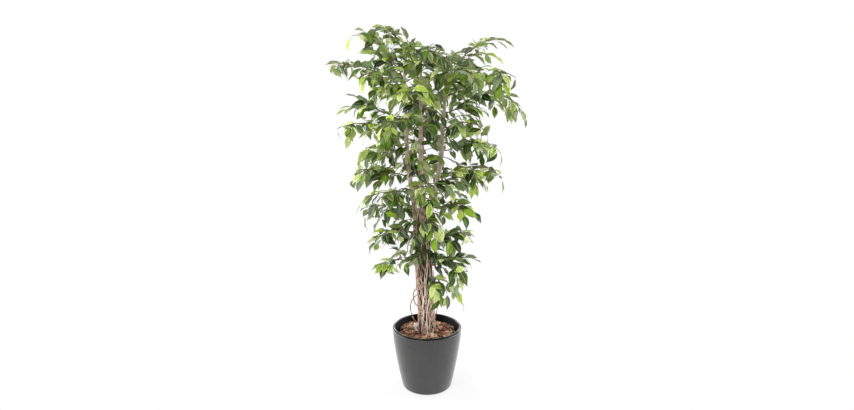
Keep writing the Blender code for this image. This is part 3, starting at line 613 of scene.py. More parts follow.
# ---- Meshes ----
@dataclass
class Gathered:
    """Points, faces and paint of one piece while its shells are gathered."""

    points: list[Array] = field(default_factory=list)
    faces: list[Array] = field(default_factory=list)
    paint: dict[str, list[Array]] = field(default_factory=lambda: defaultdict(list))
    count: int = 0

    def add(self, points: Array, faces: list[Array], **paint: Array) -> None:
        """Adds one shell.

        Args:
            points: Its corners, one row each.
            faces: Arrays of corner numbers, each array with faces of one size.
            paint: Vector attributes by name, one row for each corner.
        """
        self.points.append(points)
        self.faces += [array + self.count for array in faces]
        for name, rows in paint.items():
            self.paint[name].append(rows)
        self.count += len(points)

    def piece(self, name: str, finish: Material, slot: Slot, nodes: tuple[str, ...] = ()) -> Piece:
        """Makes the piece that stands for some CAD nodes.

        Args:
            name: The piece's name.
            finish: Its material.
            slot: The record's slot of its finish.
            nodes: The CAD nodes that it stands for.

        Returns:
            The piece.
        """
        mesh = bpy.data.meshes.new(name)
        corners = [face for array in self.faces for face in array.tolist()]
        mesh.from_pydata(np.concatenate(self.points).tolist(), [], corners)
        for label, rows in self.paint.items():
            painted(mesh, label, np.concatenate(rows))
        mesh.validate()
        return placed(mesh, finish, slot, nodes)


def linked(name: str, data: bpy.types.ID) -> Piece:
    """Puts a new object into the scene.

    Args:
        name: Its name.
        data: Its mesh, lamp or camera.

    Returns:
        The object.
    """
    obj = bpy.data.objects.new(name, data)
    bpy.context.scene.collection.objects.link(obj)
    return obj


def painted(mesh: Mesh, label: str, rows: Array) -> None:
    """Gives each corner of a mesh its own vector, for the materials to read."""
    data = mesh.attributes.new(label, "FLOAT_VECTOR", "POINT").data
    data.foreach_set("vector", rows.astype(np.float32).ravel())


def placed(mesh: Mesh, finish: Material, slot: Slot, nodes: tuple[str, ...]) -> Piece:
    """Makes a piece of a mesh, hangs it on the root body and hides the CAD nodes that it stands
    for.

    Args:
        mesh: The mesh, which gives the piece its name.
        finish: Its material.
        slot: The record's slot of its finish; not used.
        nodes: The CAD nodes that it stands for.

    Returns:
        The piece.
    """
    mesh.materials.append(finish)
    mesh.shade_smooth()
    obj = linked(mesh.name, mesh)
    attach(obj, "root")
    if nodes:
        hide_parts(*nodes)
    faces = len(obj.data.polygons)
    LOG.info("%s: %d faces, stands for %s", obj.name, faces, ", ".join(nodes) or "nothing")
    return obj


def welded(node: str) -> tuple[Array, Faces]:
    """A CAD node's surface with its split corners joined.

    Args:
        node: The node's name.

    Returns:
        The corners, and each face's corner numbers.
    """
    bm = bmesh.new()
    bm.from_mesh(frame["nodes"][node].data)
    bmesh.ops.remove_doubles(bm, verts=bm.verts, dist=WELD)
    bm.verts.index_update()
    points = np.array([vert.co[:] for vert in bm.verts])
    faces = [tuple(vert.index for vert in face.verts) for face in bm.faces]
    bm.free()
    return points, faces


def reopened(points: Array, faces: Faces) -> bmesh.types.BMesh:
    """A welded surface, ready to be worked on.

    Args:
        points: Its corners.
        faces: Each face's corner numbers.

    Returns:
        The surface in edit form; its user frees it.
    """
    bm = bmesh.new()
    verts = [bm.verts.new(point) for point in points]
    for face in faces:
        bm.faces.new([verts[corner] for corner in face])
    return bm


def closed(bm: bmesh.types.BMesh, name: str) -> Mesh:
    """The mesh of a surface in edit form, which is freed.

    Args:
        bm: The surface.
        name: The mesh's name.

    Returns:
        The mesh.
    """
    mesh = bpy.data.meshes.new(name)
    bm.to_mesh(mesh)
    bm.free()
    return mesh


def neighbours_of(faces: Faces) -> dict[int, set[int]]:
    """The corners that share an edge with each corner.

    Args:
        faces: Each face's corner numbers.

    Returns:
        The numbers of its neighbours, for each corner.
    """
    found: dict[int, set[int]] = defaultdict(set)
    for face in faces:
        for first, second in zip(face, face[1:] + face[:1]):
            found[first].add(second)
            found[second].add(first)
    return found


def curve_through(points: Array, radii: Array, step: float) -> tuple[Array, ...]:
    """A smooth line through some points, in even steps.

    Args:
        points: The points, in order.
        radii: A radius for each.
        step: The distance between the new points.

    Returns:
        The new points, their radii and their distances along the line.
    """
    padded = np.vstack((2 * points[0] - points[1], points, 2 * points[-1] - points[-2]))
    dense, sizes = [], []
    for index in range(len(points) - 1):
        before, start, end, after = padded[index : index + 4]
        share = np.linspace(0.0, 1.0, CURVE_SAMPLES, endpoint=False)[:, None]
        dense.append(
            0.5 * (2 * start + (end - before) * share
                   + (2 * before - 5 * start + 4 * end - after) * share**2
                   + (3 * start - before - 3 * end + after) * share**3)
        )
        sizes.append(radii[index] + (radii[index + 1] - radii[index]) * share[:, 0])
    dense = np.vstack((*dense, points[-1:]))
    sizes = np.concatenate((*sizes, radii[-1:]))
    travelled = np.concatenate(([0.0], np.cumsum(np.linalg.norm(np.diff(dense, axis=0), axis=1))))
    along = np.linspace(0.0, travelled[-1], max(3, round(travelled[-1] / step) + 1))
    even = np.column_stack([np.interp(along, travelled, row) for row in dense.T])
    return even, np.interp(along, travelled, sizes), along


def tube_faces(rings: int, sides: int) -> list[Array]:
    """The faces of a closed tube whose corners run ring by ring, its two ends' middles last.

    Args:
        rings: The number of rings.
        sides: The corners in each.

    Returns:
        The faces between the rings, at the first ring and at the last.
    """
    number = np.arange(rings * sides).reshape(rings, sides)
    after = np.roll(number, -1, axis=1)
    quads = np.stack((number[:-1], after[:-1], after[1:], number[1:]), axis=-1).reshape(-1, 4)
    start = np.column_stack((after[0], number[0], np.full(sides, rings * sides)))
    end = np.column_stack((number[-1], after[-1], np.full(sides, rings * sides + 1)))
    return [quads, start, end]


def with_ends(rows: Array) -> Array:
    """Paint for a tube's rings, with its first and last rows again for the ends' middles."""
    return np.vstack((rows, rows[[0, -1]]))


def swept(line: Array, radius: Array) -> tuple[Array, list[Array]]:
    """A closed tube round a line.

    Args:
        line: The points of its middle.
        radius: Its radius for each point, and for each side round it.

    Returns:
        The corners, ring by ring with the two ends' middles last, and the faces.
    """
    rings, sides = radius.shape
    tangent = unit(np.gradient(line, axis=0))
    frames = [unit(np.cross(tangent[0], FIRST_SIDE))]
    for way in tangent[1:]:
        turned = frames[-1] - way * frames[-1].dot(way)
        frames.append(unit(turned))
    side = np.array(frames)
    other = np.cross(tangent, side)
    turn = angles(sides)
    spokes = side[:, None] * np.cos(turn)[:, None] + other[:, None] * np.sin(turn)[:, None]
    points = line[:, None] + spokes * radius[..., None]
    corners = np.vstack((points.reshape(-1, 3), line[:1], line[-1:]))
    return corners, tube_faces(rings, sides)


# ---- Studio ----
@dataclass(frozen=True)
class Panel:
    """A soft panel of light that faces the plant."""

    name: str
    place: tuple[float, float, float]
    size: tuple[float, float]
    power: float

    def hang(self, aim: Vector) -> None:
        """Hangs the panel.

        Args:
            aim: The point that it faces.
        """
        lamp = bpy.data.lights.new(self.name, "AREA")
        lamp.shape = "RECTANGLE"
        lamp.size, lamp.size_y = self.size
        lamp.energy = self.power
        holder = linked(self.name, lamp)
        holder.location = self.place
        holder.rotation_euler = (aim - Vector(self.place)).to_track_quat("-Z", "Y").to_euler()


@dataclass
class Studio:
    """A pale floor, soft lights and the camera."""

    camera_place: tuple[float, float, float] = (0.0, -2.70, 1.45)
    camera_dip: float = 10.63
    lens: float = 23.68
    sensor: float = 36.0
    floor_half: float = 40.0
    floor_fade: Span = (0.25, 1.3)
    floor_glow: Span = (0.78, 1.0)
    floor_shades: tuple[Colour, Colour] = (srgb(246, 246, 246), srgb(242, 242, 242))
    surround: float = 0.38
    aim_height: float = 0.95
    panels: tuple[Panel, ...] = (
        Panel("key_panel", (-1.6, -2.4, 3.3), (1.8, 1.6), 60.0),
        Panel("left_panel", (-2.6, 0.2, 1.4), (1.6, 2.4), 62.0),
        Panel("right_panel", (2.6, 0.2, 1.4), (1.6, 2.4), 54.0),
        Panel("left_edge_panel", (-1.9, 2.0, 1.0), (1.2, 2.4), 54.0),
        Panel("right_edge_panel", (1.9, 2.0, 1.0), (1.2, 2.4), 52.0),
    )

    def build(self) -> None:
        """Makes the floor, the world, the lights and the camera."""
        self.lay_floor()
        self.set_world()
        for panel in self.panels:
            panel.hang(Vector((0.0, 0.0, self.aim_height)))
        self.set_camera()

    def set_camera(self) -> None:
        """Places the camera and takes the plain view of its colours."""
        camera = bpy.data.cameras.new("view")
        camera.lens = self.lens
        camera.sensor_width = self.sensor
        seat = linked("view", camera)
        seat.location = self.camera_place
        seat.rotation_euler = (math.radians(90.0 - self.camera_dip), 0.0, 0.0)
        bpy.context.scene.camera = seat
        bpy.context.scene.view_settings.view_transform = "Standard"

    def lay_floor(self) -> None:
        """Lays the floor: shaded near the pot, plain white in view further away."""
        half = self.floor_half
        mesh = bpy.data.meshes.new("studio_floor")
        ring = [(-half, -half, 0.0), (half, -half, 0.0), (half, half, 0.0), (-half, half, 0.0)]
        mesh.from_pydata(ring, [], [(0, 1, 2, 3)])
        bench = Bench(bpy.data.materials.new("studio_floor"))
        reach = bench.node("ShaderNodeVectorMath", {0: bench.place()}, operation="LENGTH")
        far = bench.ranged(reach.outputs["Value"], *self.floor_fade, self.floor_glow)
        dust = bench.ranged(bench.noise(bench.place(), 60.0), 0.2, 0.8)
        matt = bench.node("ShaderNodeBsdfDiffuse", {0: bench.mixed(dust, *self.floor_shades)})
        glow = bench.node("ShaderNodeEmission", {0: WHITE, 1: 1.0})
        share = bench.times(bench.in_view(), far)
        joined = bench.node(
            "ShaderNodeMixShader", {0: share, 1: matt.outputs[0], 2: glow.outputs[0]}
        )
        bench.node("ShaderNodeOutputMaterial", {0: joined.outputs[0]})
        mesh.materials.append(bench.holder)
        floor = linked("studio_floor", mesh)

    def set_world(self) -> None:
        """Fills the room with soft light behind a white backdrop."""
        bench = Bench(bpy.data.worlds.new("studio"))
        wires = {"Value": bench.in_view(), "To Min": self.surround, "To Max": 1.0}
        level = bench.node("ShaderNodeMapRange", wires).outputs[0]
        glow = bench.node("ShaderNodeBackground", {"Color": WHITE, "Strength": level})
        bench.node("ShaderNodeOutputWorld", {0: glow.outputs[0]})
        bpy.context.scene.world = bench.holder


# ---- Bark ----
@dataclass(frozen=True)
class Relief:
    """How the skin of a stick swells and dips, as shares of its radius."""

    lumps: float
    flutes: float
    fibres: float
    knots: float
    knot_gap: float
    knot_reach: float = 0.0045

    def skin(self, along: Array, sides: int, rng: Chance) -> Array:
        """The skin's height for every ring and side.

        Args:
            along: Distances along the stick.
            sides: The number of sides.
            rng: The source of its waves.

        Returns:
            Shares of the radius, ring by ring.
        """
        turn = angles(sides)[None]
        rise = along[:, None]
        most = sides // 2 - 1
        bands = (
            (self.lumps, 10, (0, 2), (0.030, 0.110)),
            (self.flutes, 5, (2, min(5, most)), (0.12, 0.45)),
            (self.fibres, 14, (min(5, most), most), (0.012, 0.060)),
        )
        height = np.zeros((len(along), sides))
        for amount, count, lobes, waves in bands:
            for _ in range(count):
                lobe = rng.randint(lobes[0], lobes[1] + 1)
                wave = rng.uniform(*waves) * rng.choice((-1.0, 1.0))
                phase = rng.uniform(0.0, math.tau)
                height += amount / math.sqrt(count) * np.sin(
                    lobe * turn + math.tau * rise / wave + phase
                )
        place = rng.uniform(0.2, 1.0) * self.knot_gap
        while place < along[-1]:
            face = rng.uniform(0.0, math.tau)
            near = np.exp(-(((rise - place) / self.knot_reach) ** 2))
            height += self.knots * near * (0.55 + 0.45 * np.cos(turn - face))
            place += self.knot_gap * rng.uniform(0.5, 1.5)
        return height


@dataclass
class Stick:
    """A stick of wood whose middle line follows a CAD node."""

    node: str
    line: Array = field(init=False)
    radii: Array = field(init=False)

    def __post_init__(self) -> None:
        """Reads the rings of the CAD stick, from its lower end to its upper end."""
        points, faces = welded(self.node)
        rings = even_rings(points, faces)
        centres = np.array([points[sorted(ring)].mean(axis=0) for ring in rings])
        radii = np.array([
            np.linalg.norm(points[sorted(ring)] - centre, axis=1).mean()
            for ring, centre in zip(rings, centres)
        ])
        if centres[0, 2] > centres[-1, 2]:
            centres, radii = centres[::-1], radii[::-1]
        self.line, self.radii = centres, radii

    def at_height(self, height: float) -> tuple[Array, float]:
        """The middle point and the radius at a height."""
        measures = [np.interp(height, self.line[:, 2], row) for row in (*self.line.T, self.radii)]
        return np.array(measures[:3]), float(measures[3])


def layers(start: set[int], beside: dict[int, set[int]]) -> list[set[int]]:
    """Rings of corners, each one edge further from the start.

    Args:
        start: The corners of the first ring.
        beside: Each corner's neighbours.

    Returns:
        The rings, until no corner is left.
    """
    seen, found = set(start), [set(start)]
    while True:
        after = {other for corner in found[-1] for other in beside[corner]} - seen
        if not after:
            return found
        seen |= after
        found.append(after)


def even_rings(points: Array, faces: Faces) -> list[set[int]]:
    """Reads a stick's rings from one of its flat ends.

    Args:
        points: The stick's corners.
        faces: Its triangles.

    Returns:
        The corners of each ring, in order along the stick.
    """
    beside = neighbours_of(faces)
    table = np.array(faces)
    sides = points[table]
    normals = unit(np.cross(sides[:, 1] - sides[:, 0], sides[:, 2] - sides[:, 0]))
    corner = min(layers({0}, beside)[-1])
    choices = []
    for face in np.flatnonzero((table == corner).any(axis=1)):
        flat = table[normals @ normals[face] > SAME_PLANE]
        group = set(table[face].tolist())
        while True:
            touching = [row for row in flat.tolist() if len(group & set(row)) >= 2]
            grown = group.union(*touching)
            if grown == group:
                break
            group = grown
        rings = layers(group, beside)
        choices.append((len({len(ring) for ring in rings}), len(choices), rings))
    return min(choices)[2]


@dataclass(frozen=True)
class Shading:
    """Paints shade on what lies deep between the sticks of the bundle."""

    heights: Array
    middles: Array
    strength: float
    least: float
    # the heights over which the painted shade fades out upward
    fade: Span = (0.72, 1.05)

    def painted_shade(self, skin: Array, line: Array) -> Array:
        """How much painted shade each point of a stick's skin gets.

        Args:
            skin: The points.
            line: The middle of the stick beside each point.

        Returns:
            Shares from 0, open, to 1, dark.
        """
        middle = [np.interp(line[:, 2], self.heights, row) for row in self.middles.T]
        outward = unit(line[:, :2] - np.column_stack(middle))
        spoke = unit((skin - line)[:, :2])
        facing = (outward * spoke).sum(axis=1)
        low, high = self.fade
        lower = 1.0 - smooth((line[:, 2] - low) / (high - low))
        inward = self.least + (1.0 - self.least) * smooth((0.78 - facing) / 0.8)
        return inward * lower * self.strength


@dataclass(frozen=True)
class BarkCut:
    """How a kind of stick is made."""

    relief: Relief
    sides: int
    step: float
    fatter: float = 1.0


GRAIN_ROUND, GRAIN_ALONG = 420.0, 34.0  # bark fibres a metre, round a stick and along it
YOUNG_FROM, YOUNG_RISE, YOUNG_MOST = 0.80, 0.30, 0.92  # where bark turns pale, and how pale


def add_bark(
    gathered: Gathered, line: Array, radii: Array, cut: BarkCut, seed: int,
    shading: Shading | None, own: tuple[float, float],
) -> None:
    """Adds a barked stick to a piece.

    Args:
        gathered: The piece.
        line: The points of the stick's middle.
        radii: Its radius along that line.
        cut: How it is made.
        seed: For its relief.
        shading: What paints shade on the sides that face inward, if anything does.
        own: How much lighter its bark is, and how rosy.
    """
    rng = Chance(seed)
    line, sizes, along = curve_through(line, radii * cut.fatter, cut.step)
    skin = cut.relief.skin(along, cut.sides, rng)
    corners, faces = swept(line, sizes[:, None] * (1.0 + skin))
    around = circle(cut.sides)[None] * sizes[:, None, None] * GRAIN_ROUND
    upward = np.broadcast_to(along[:, None, None] * GRAIN_ALONG, (*skin.shape, 1))
    grain = np.concatenate((around, upward), axis=-1).reshape(-1, 3)
    grain = grain + rng.uniform(0.0, 90.0, 3)
    # painted shade of the skin: low in its dips, high on its swells
    crevice_shading = np.clip(0.5 + skin / (3.2 * max(cut.relief.lumps, 0.03)), 0.0, 1.0).reshape(-1)
    # painted shade on the sides that face into the bundle
    painted_shade = np.zeros(len(crevice_shading))
    if shading is not None:
        painted_shade = shading.painted_shade(corners[:-2], np.repeat(line, cut.sides, axis=0))
    youth = smooth((np.repeat(line[:, 2], cut.sides) - YOUNG_FROM) / YOUNG_RISE) * YOUNG_MOST
    skin_rows = with_ends(np.column_stack((crevice_shading, youth, painted_shade)))
    own_rows = np.tile((*own, 0.0), (len(corners), 1))
    gathered.add(corners, faces, grain=with_ends(grain), skin=skin_rows, own=own_rows)


@dataclass(frozen=True)
class StickKind:
    """Sticks made alike: their nodes, cut, finish, tone and whether they lie deep in painted shade.
    """

    nodes: tuple[str, ...]
    cut: BarkCut
    finish: Material
    shift: float
    deep: bool


@dataclass(frozen=True)
class Strand:
    """A thin strand on the bundle: where it runs, how thick it is and its own tone."""

    start: float
    sweep: float
    bottom: float
    top: float
    waves: tuple[float, float, float]
    radius: float
    proud: float
    own: tuple[float, float]


@dataclass
class Bundle:
    """Stems, lianas, vines, aerial roots and the thin strands that net them."""

    finish: Material
    light_finish: Material
    pale_finish: Material
    strands: int = 46
    strand_radius: Span = (0.0015, 0.0029)
    strand_tops: Span = (0.62, 1.00)
    short_tops: Span = (0.40, 0.60)
    tendrils: int = 58
    tendril_radius: Span = (0.0009, 0.0017)
    tendril_top: float = 0.60
    strand_cut: BarkCut = BarkCut(Relief(0.14, 0.0, 0.03, 0.25, 0.030), 8, 0.0038)
    foot: float = 0.268
    pale_strand: Strand = Strand(
        -1.42, 1.10, 0.268, 0.62, (0.50, math.pi, 3.7), 0.0036, 2.6, (0.22, 0.25)
    )
    root_clear: Span = (0.42, 0.012)
    flank: float = 0.26
    first_seed: int = 12
    sticks: dict[str, Stick] = field(default_factory=dict)
    shading: Shading = field(init=False)
    strand_shading: Shading = field(init=False)

    def kinds(self) -> tuple[StickKind, ...]:
        """The kinds of stick, from the inside of the bundle outwards.

        Returns:
            The kinds.
        """
        stem = BarkCut(Relief(0.085, 0.055, 0.026, 0.12, 0.090), 22, 0.0045, 1.20)
        liana = BarkCut(Relief(0.110, 0.075, 0.034, 0.18, 0.060), 16, 0.0040)
        vine = BarkCut(Relief(0.120, 0.0, 0.030, 0.22, 0.045), 10, 0.0032)
        root = BarkCut(Relief(0.100, 0.0, 0.030, 0.20, 0.040), 10, 0.0030)
        return (
            StickKind(STEMS, stem, self.finish, 0.0, True),
            StickKind(LIANAS, liana, self.finish, 0.0, True),
            StickKind(VINES, vine, self.light_finish, 0.0, False),
            StickKind(ROOTS, root, self.light_finish, -0.30, False),
            StickKind(TWIG, root, self.finish, -0.40, False),
        )

    def build(self) -> None:
        """Makes every stick of the bundle, then the net over it."""
        kinds = self.kinds()
        self.sticks = {node: Stick(node) for kind in kinds for node in kind.nodes}
        heights = np.linspace(0.2, 1.55, 60)
        middles = np.array([self.middle(height) for height in heights])
        # painted shade: strong on the sticks deep in the bundle, milder on the strands' inward
        # sides
        self.shading = Shading(heights, middles, 1.0, 0.74)
        self.strand_shading = Shading(heights, middles, 0.55, 0.0)
        seed = self.first_seed
        for kind in kinds:
            for node in kind.nodes:
                stick, shading = self.sticks[node], self.shading if kind.deep else None
                own = (kind.shift, 0.0)
                gathered = Gathered()
                add_bark(gathered, stick.line, stick.radii, kind.cut, seed, shading, own)
                gathered.piece(f"bark_{node}", kind.finish, Slot.BARK, (node,))
                seed += 1
        self.net()

    def outside(self, angle: float, height: float) -> float:
        """How far the wood reaches from the bundle's middle.

        Args:
            angle: The direction, in radians.
            height: The height.

        Returns:
            The distance in metres.
        """
        middle = self.middle(height)
        way = np.array((math.cos(angle), math.sin(angle)))
        reach = 0.0
        for name in STEMS + LIANAS:
            stick = self.sticks[name]
            if not stick.line[0, 2] <= height <= stick.line[-1, 2]:
                continue
            centre, radius = stick.at_height(height)
            gap = centre[:2] - middle
            forward = float(gap @ way)
            aside = abs(float(gap[0] * way[1] - gap[1] * way[0]))
            if aside < radius and forward > -0.01:
                reach = max(reach, forward + math.sqrt(radius**2 - aside**2))
        return reach

    def middle(self, height: float) -> Array:
        """The middle of the stems at a height, seen from above."""
        return np.mean([self.sticks[name].at_height(height)[0][:2] for name in STEMS], axis=0)

    def net(self) -> None:
        """Lays strands over the bundle, curled tendrils between them, and one pale strand."""
        rng = Chance(77)
        thin = Gathered()
        low, high = self.strand_radius
        for number in range(self.strands):
            tops = self.strand_tops if number % 4 else self.short_tops
            strand = Strand(
                start=math.tau * number / self.strands + rng.uniform(-0.15, 0.15),
                sweep=rng.uniform(0.1, 2.5) * (1 if number % 2 else -1),
                bottom=self.foot,
                top=rng.uniform(*tops),
                waves=tuple(rng.uniform((0.06, 0.0, 9.0), (0.22, math.tau, 34.0))),
                radius=low + (high - low) * rng.uniform(0.0, 1.0) ** 1.2,
                proud=rng.uniform(0.2, 2.2),
                own=(rng.uniform(-0.04, 0.28), max(0.0, rng.uniform(-0.4, 0.8))),
            )
            self.cling(thin, self.clear_of_root(strand), 300 + number)
        for number in range(self.tendrils):
            bottom = rng.uniform(self.foot + 0.004, self.tendril_top)
            strand = Strand(
                start=rng.uniform(0.0, math.tau),
                sweep=rng.uniform(-0.5, 0.5),
                bottom=bottom,
                top=bottom + rng.uniform(0.05, 0.12),
                waves=tuple(rng.uniform((0.08, 0.0, 5.0), (0.26, math.tau, 12.0))),
                radius=rng.uniform(*self.tendril_radius),
                proud=rng.uniform(0.3, 2.2),
                own=(rng.uniform(-0.22, 0.16), max(0.0, rng.uniform(-0.3, 0.9))),
            )
            self.cling(thin, self.clear_of_root(strand), 600 + number, 0.004)
        thin.piece("bundle_strands", self.light_finish, Slot.BARK)
        pale = Gathered()
        self.cling(pale, self.pale_strand, 299)
        pale.piece("bundle_pale_strand", self.pale_finish, Slot.BARK)

    def clear_of_root(self, strand: Strand) -> Strand:
        """Starts a strand above the pale root where it would run over it.

        Args:
            strand: The strand.

        Returns:
            The same strand, or one that starts higher.
        """
        low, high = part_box(PaleRoot.node)
        spot = (low + high) / 2.0
        middle = self.middle(spot.z)
        aside = math.atan2(spot.y - middle[1], spot.x - middle[0]) - strand.start
        beside, above = self.root_clear
        near = abs((aside + math.pi) % math.tau - math.pi) < beside
        lift = high.z + above - strand.bottom
        if near and lift > 0.0:
            top = max(strand.top, strand.bottom + lift + 0.06)
            return replace(strand, bottom=strand.bottom + lift, top=top)
        return strand

    def cling(self, gathered: Gathered, strand: Strand, seed: int, step: float = 0.008) -> None:
        """Lays one strand up over the bundle's skin.

        Args:
            gathered: The piece it joins.
            strand: The strand.
            seed: For its relief.
            step: How far apart the points that it follows are.
        """
        levels = np.arange(strand.bottom, strand.top, step)
        share = (levels - strand.bottom) / (strand.top - strand.bottom)
        swing, phase, beats = strand.waves
        ways = strand.start + strand.sweep * share + swing * np.sin(phase + share * beats)
        reach = np.max([
            [self.outside(way + aside, level) for way, level in zip(ways, levels)]
            for aside in (-self.flank, 0.0, self.flank)
        ], axis=0)
        reach = np.maximum(reach, np.percentile(reach, 35))
        kernel = np.array((1.0, 2.0, 3.0, 2.0, 1.0)) / 9.0
        reach = np.convolve(np.pad(reach, 2, mode="edge"), kernel, mode="valid")
        middles = np.array([self.middle(z) for z in levels])
        away = (reach + strand.radius * strand.proud)[:, None]
        spots = middles + np.column_stack((np.cos(ways), np.sin(ways))) * away
        sizes = strand.radius * (1.0 - 0.55 * smooth((share - 0.6) / 0.4))
        line = np.column_stack((spots, levels))
        add_bark(gathered, line, sizes, self.strand_cut, seed, self.strand_shading, strand.own)


# ---- Foliage ----
# From where to where the leaves differ: lengths as shares of the leaf's, turns in radians
LEAF_SPANS = {
    "stalk": (0.08, 0.13),
    "width": (0.37, 0.47),
    "arch": (0.015, 0.085),
    "droop": (0.01, 0.12),
    "fold": (0.05, 0.42),
    "wave": (0.006, 0.026),
    "phase": (0.0, 1.0),
    "twist": (-0.45, 0.45),
    "bend": (-0.06, 0.06),
}
RIPPLES = 2.3  # waves along a leaf's margin
BLADE_THICK, RIB_THICK = 0.00022, 0.00035
STALK_SHARES = (-0.035, 0.3, 0.75, 1.15)
STALK_RADII = (0.0010, 0.0008, 0.0007, 0.0005)
LOW_LEAVES = 0.74  # leaves below this height are the darkest
CROWN_REACH = 0.34  # how far from the middle the leaves are at their freshest
TURN_CLEAR = 0.006  # how far a turned leaf stays from the others

# The triangle that stands for a leaf's blade in the CAD branches, and its twigs' rings
CAD_WIDTH, CAD_EDGE = 0.46, 0.6054  # as shares of the leaf's length
CAD_LENGTHS = (0.045, 0.11)
CAD_RING, CAD_UNEVEN = 0.0047, 0.02  # a ring's longest side, and how its sides may differ
JOINED = 5  # edges between two rings that follow each other


class Blade:
    """The grid that every leaf is shaped from: rows along it, columns across it."""

    rows = 11
    columns = 7
    stalk_sides = 4
    widest = 0.44

    def __init__(self) -> None:
        """Lays the grid's upper side, and a lower side that shares its outline."""
        number = np.arange(self.rows * self.columns).reshape(self.rows, self.columns)
        inner = number[1:-1, 1:-1]
        below = number.copy()
        below[1:-1, 1:-1] = np.arange(inner.size).reshape(inner.shape) + number.size
        both = np.concatenate((number.ravel(), inner.ravel()))
        self.size = both.size
        self.along = np.repeat(np.linspace(0.0, 1.0, self.rows), self.columns)[both]
        self.across = np.tile(np.linspace(-1.0, 1.0, self.columns), self.rows)[both]
        self.under = np.where(np.arange(self.size) < number.size, 0.0, 1.0)
        self.faces = np.vstack((self.triangles(number), self.triangles(below)[:, ::-1]))

    @staticmethod
    def triangles(number: Array) -> Array:
        """Splits a grid into triangles that face up, all along the same diagonal.

        Args:
            number: The grid's corner numbers.

        Returns:
            The triangles.
        """
        grid = (number[:-1, :-1], number[:-1, 1:], number[1:, 1:], number[1:, :-1])
        quads = np.stack(grid, axis=-1).reshape(-1, 4)
        return np.vstack((quads[:, [0, 1, 2]], quads[:, [0, 2, 3]]))

    def half_width(self, along: Array) -> Array:
        """Shapes the blade's outline: pointed, with a drawn-out tip.

        Args:
            along: Shares of its length.

        Returns:
            Half its width at each, where its widest is 1.
        """
        power = math.log(0.5) / math.log(self.widest)
        swell = np.sin(math.pi * np.clip(along, 0.0, 1.0) ** power)
        swell = np.clip(swell, 0.0, 1.0) ** 0.95
        drip = 1.0 - 0.38 * smooth((along - 0.72) / 0.2)
        return np.maximum(swell * drip, 0.018)


BLADE = Blade()


@dataclass(frozen=True)
class LeafPose:
    """Where a leaf leaves its twig, the ways that it points and faces, and its length."""

    base: Array
    along: Array
    normal: Array
    length: float

    def marks(self) -> Array:
        """Some points of the leaf: along its midrib and near its margins.

        Returns:
            The points, one row each.
        """
        side = np.cross(self.along, self.normal)
        reach = self.along * self.length
        rows = [self.base + reach * share for share in (0.30, 0.50, 0.72, 0.94)]
        for share, half in ((0.36, 0.17), (0.58, 0.19)):
            aside = side * self.length * half
            rows += [self.base + reach * share + aside * hand for hand in (1, -1)]
        return np.array(rows)


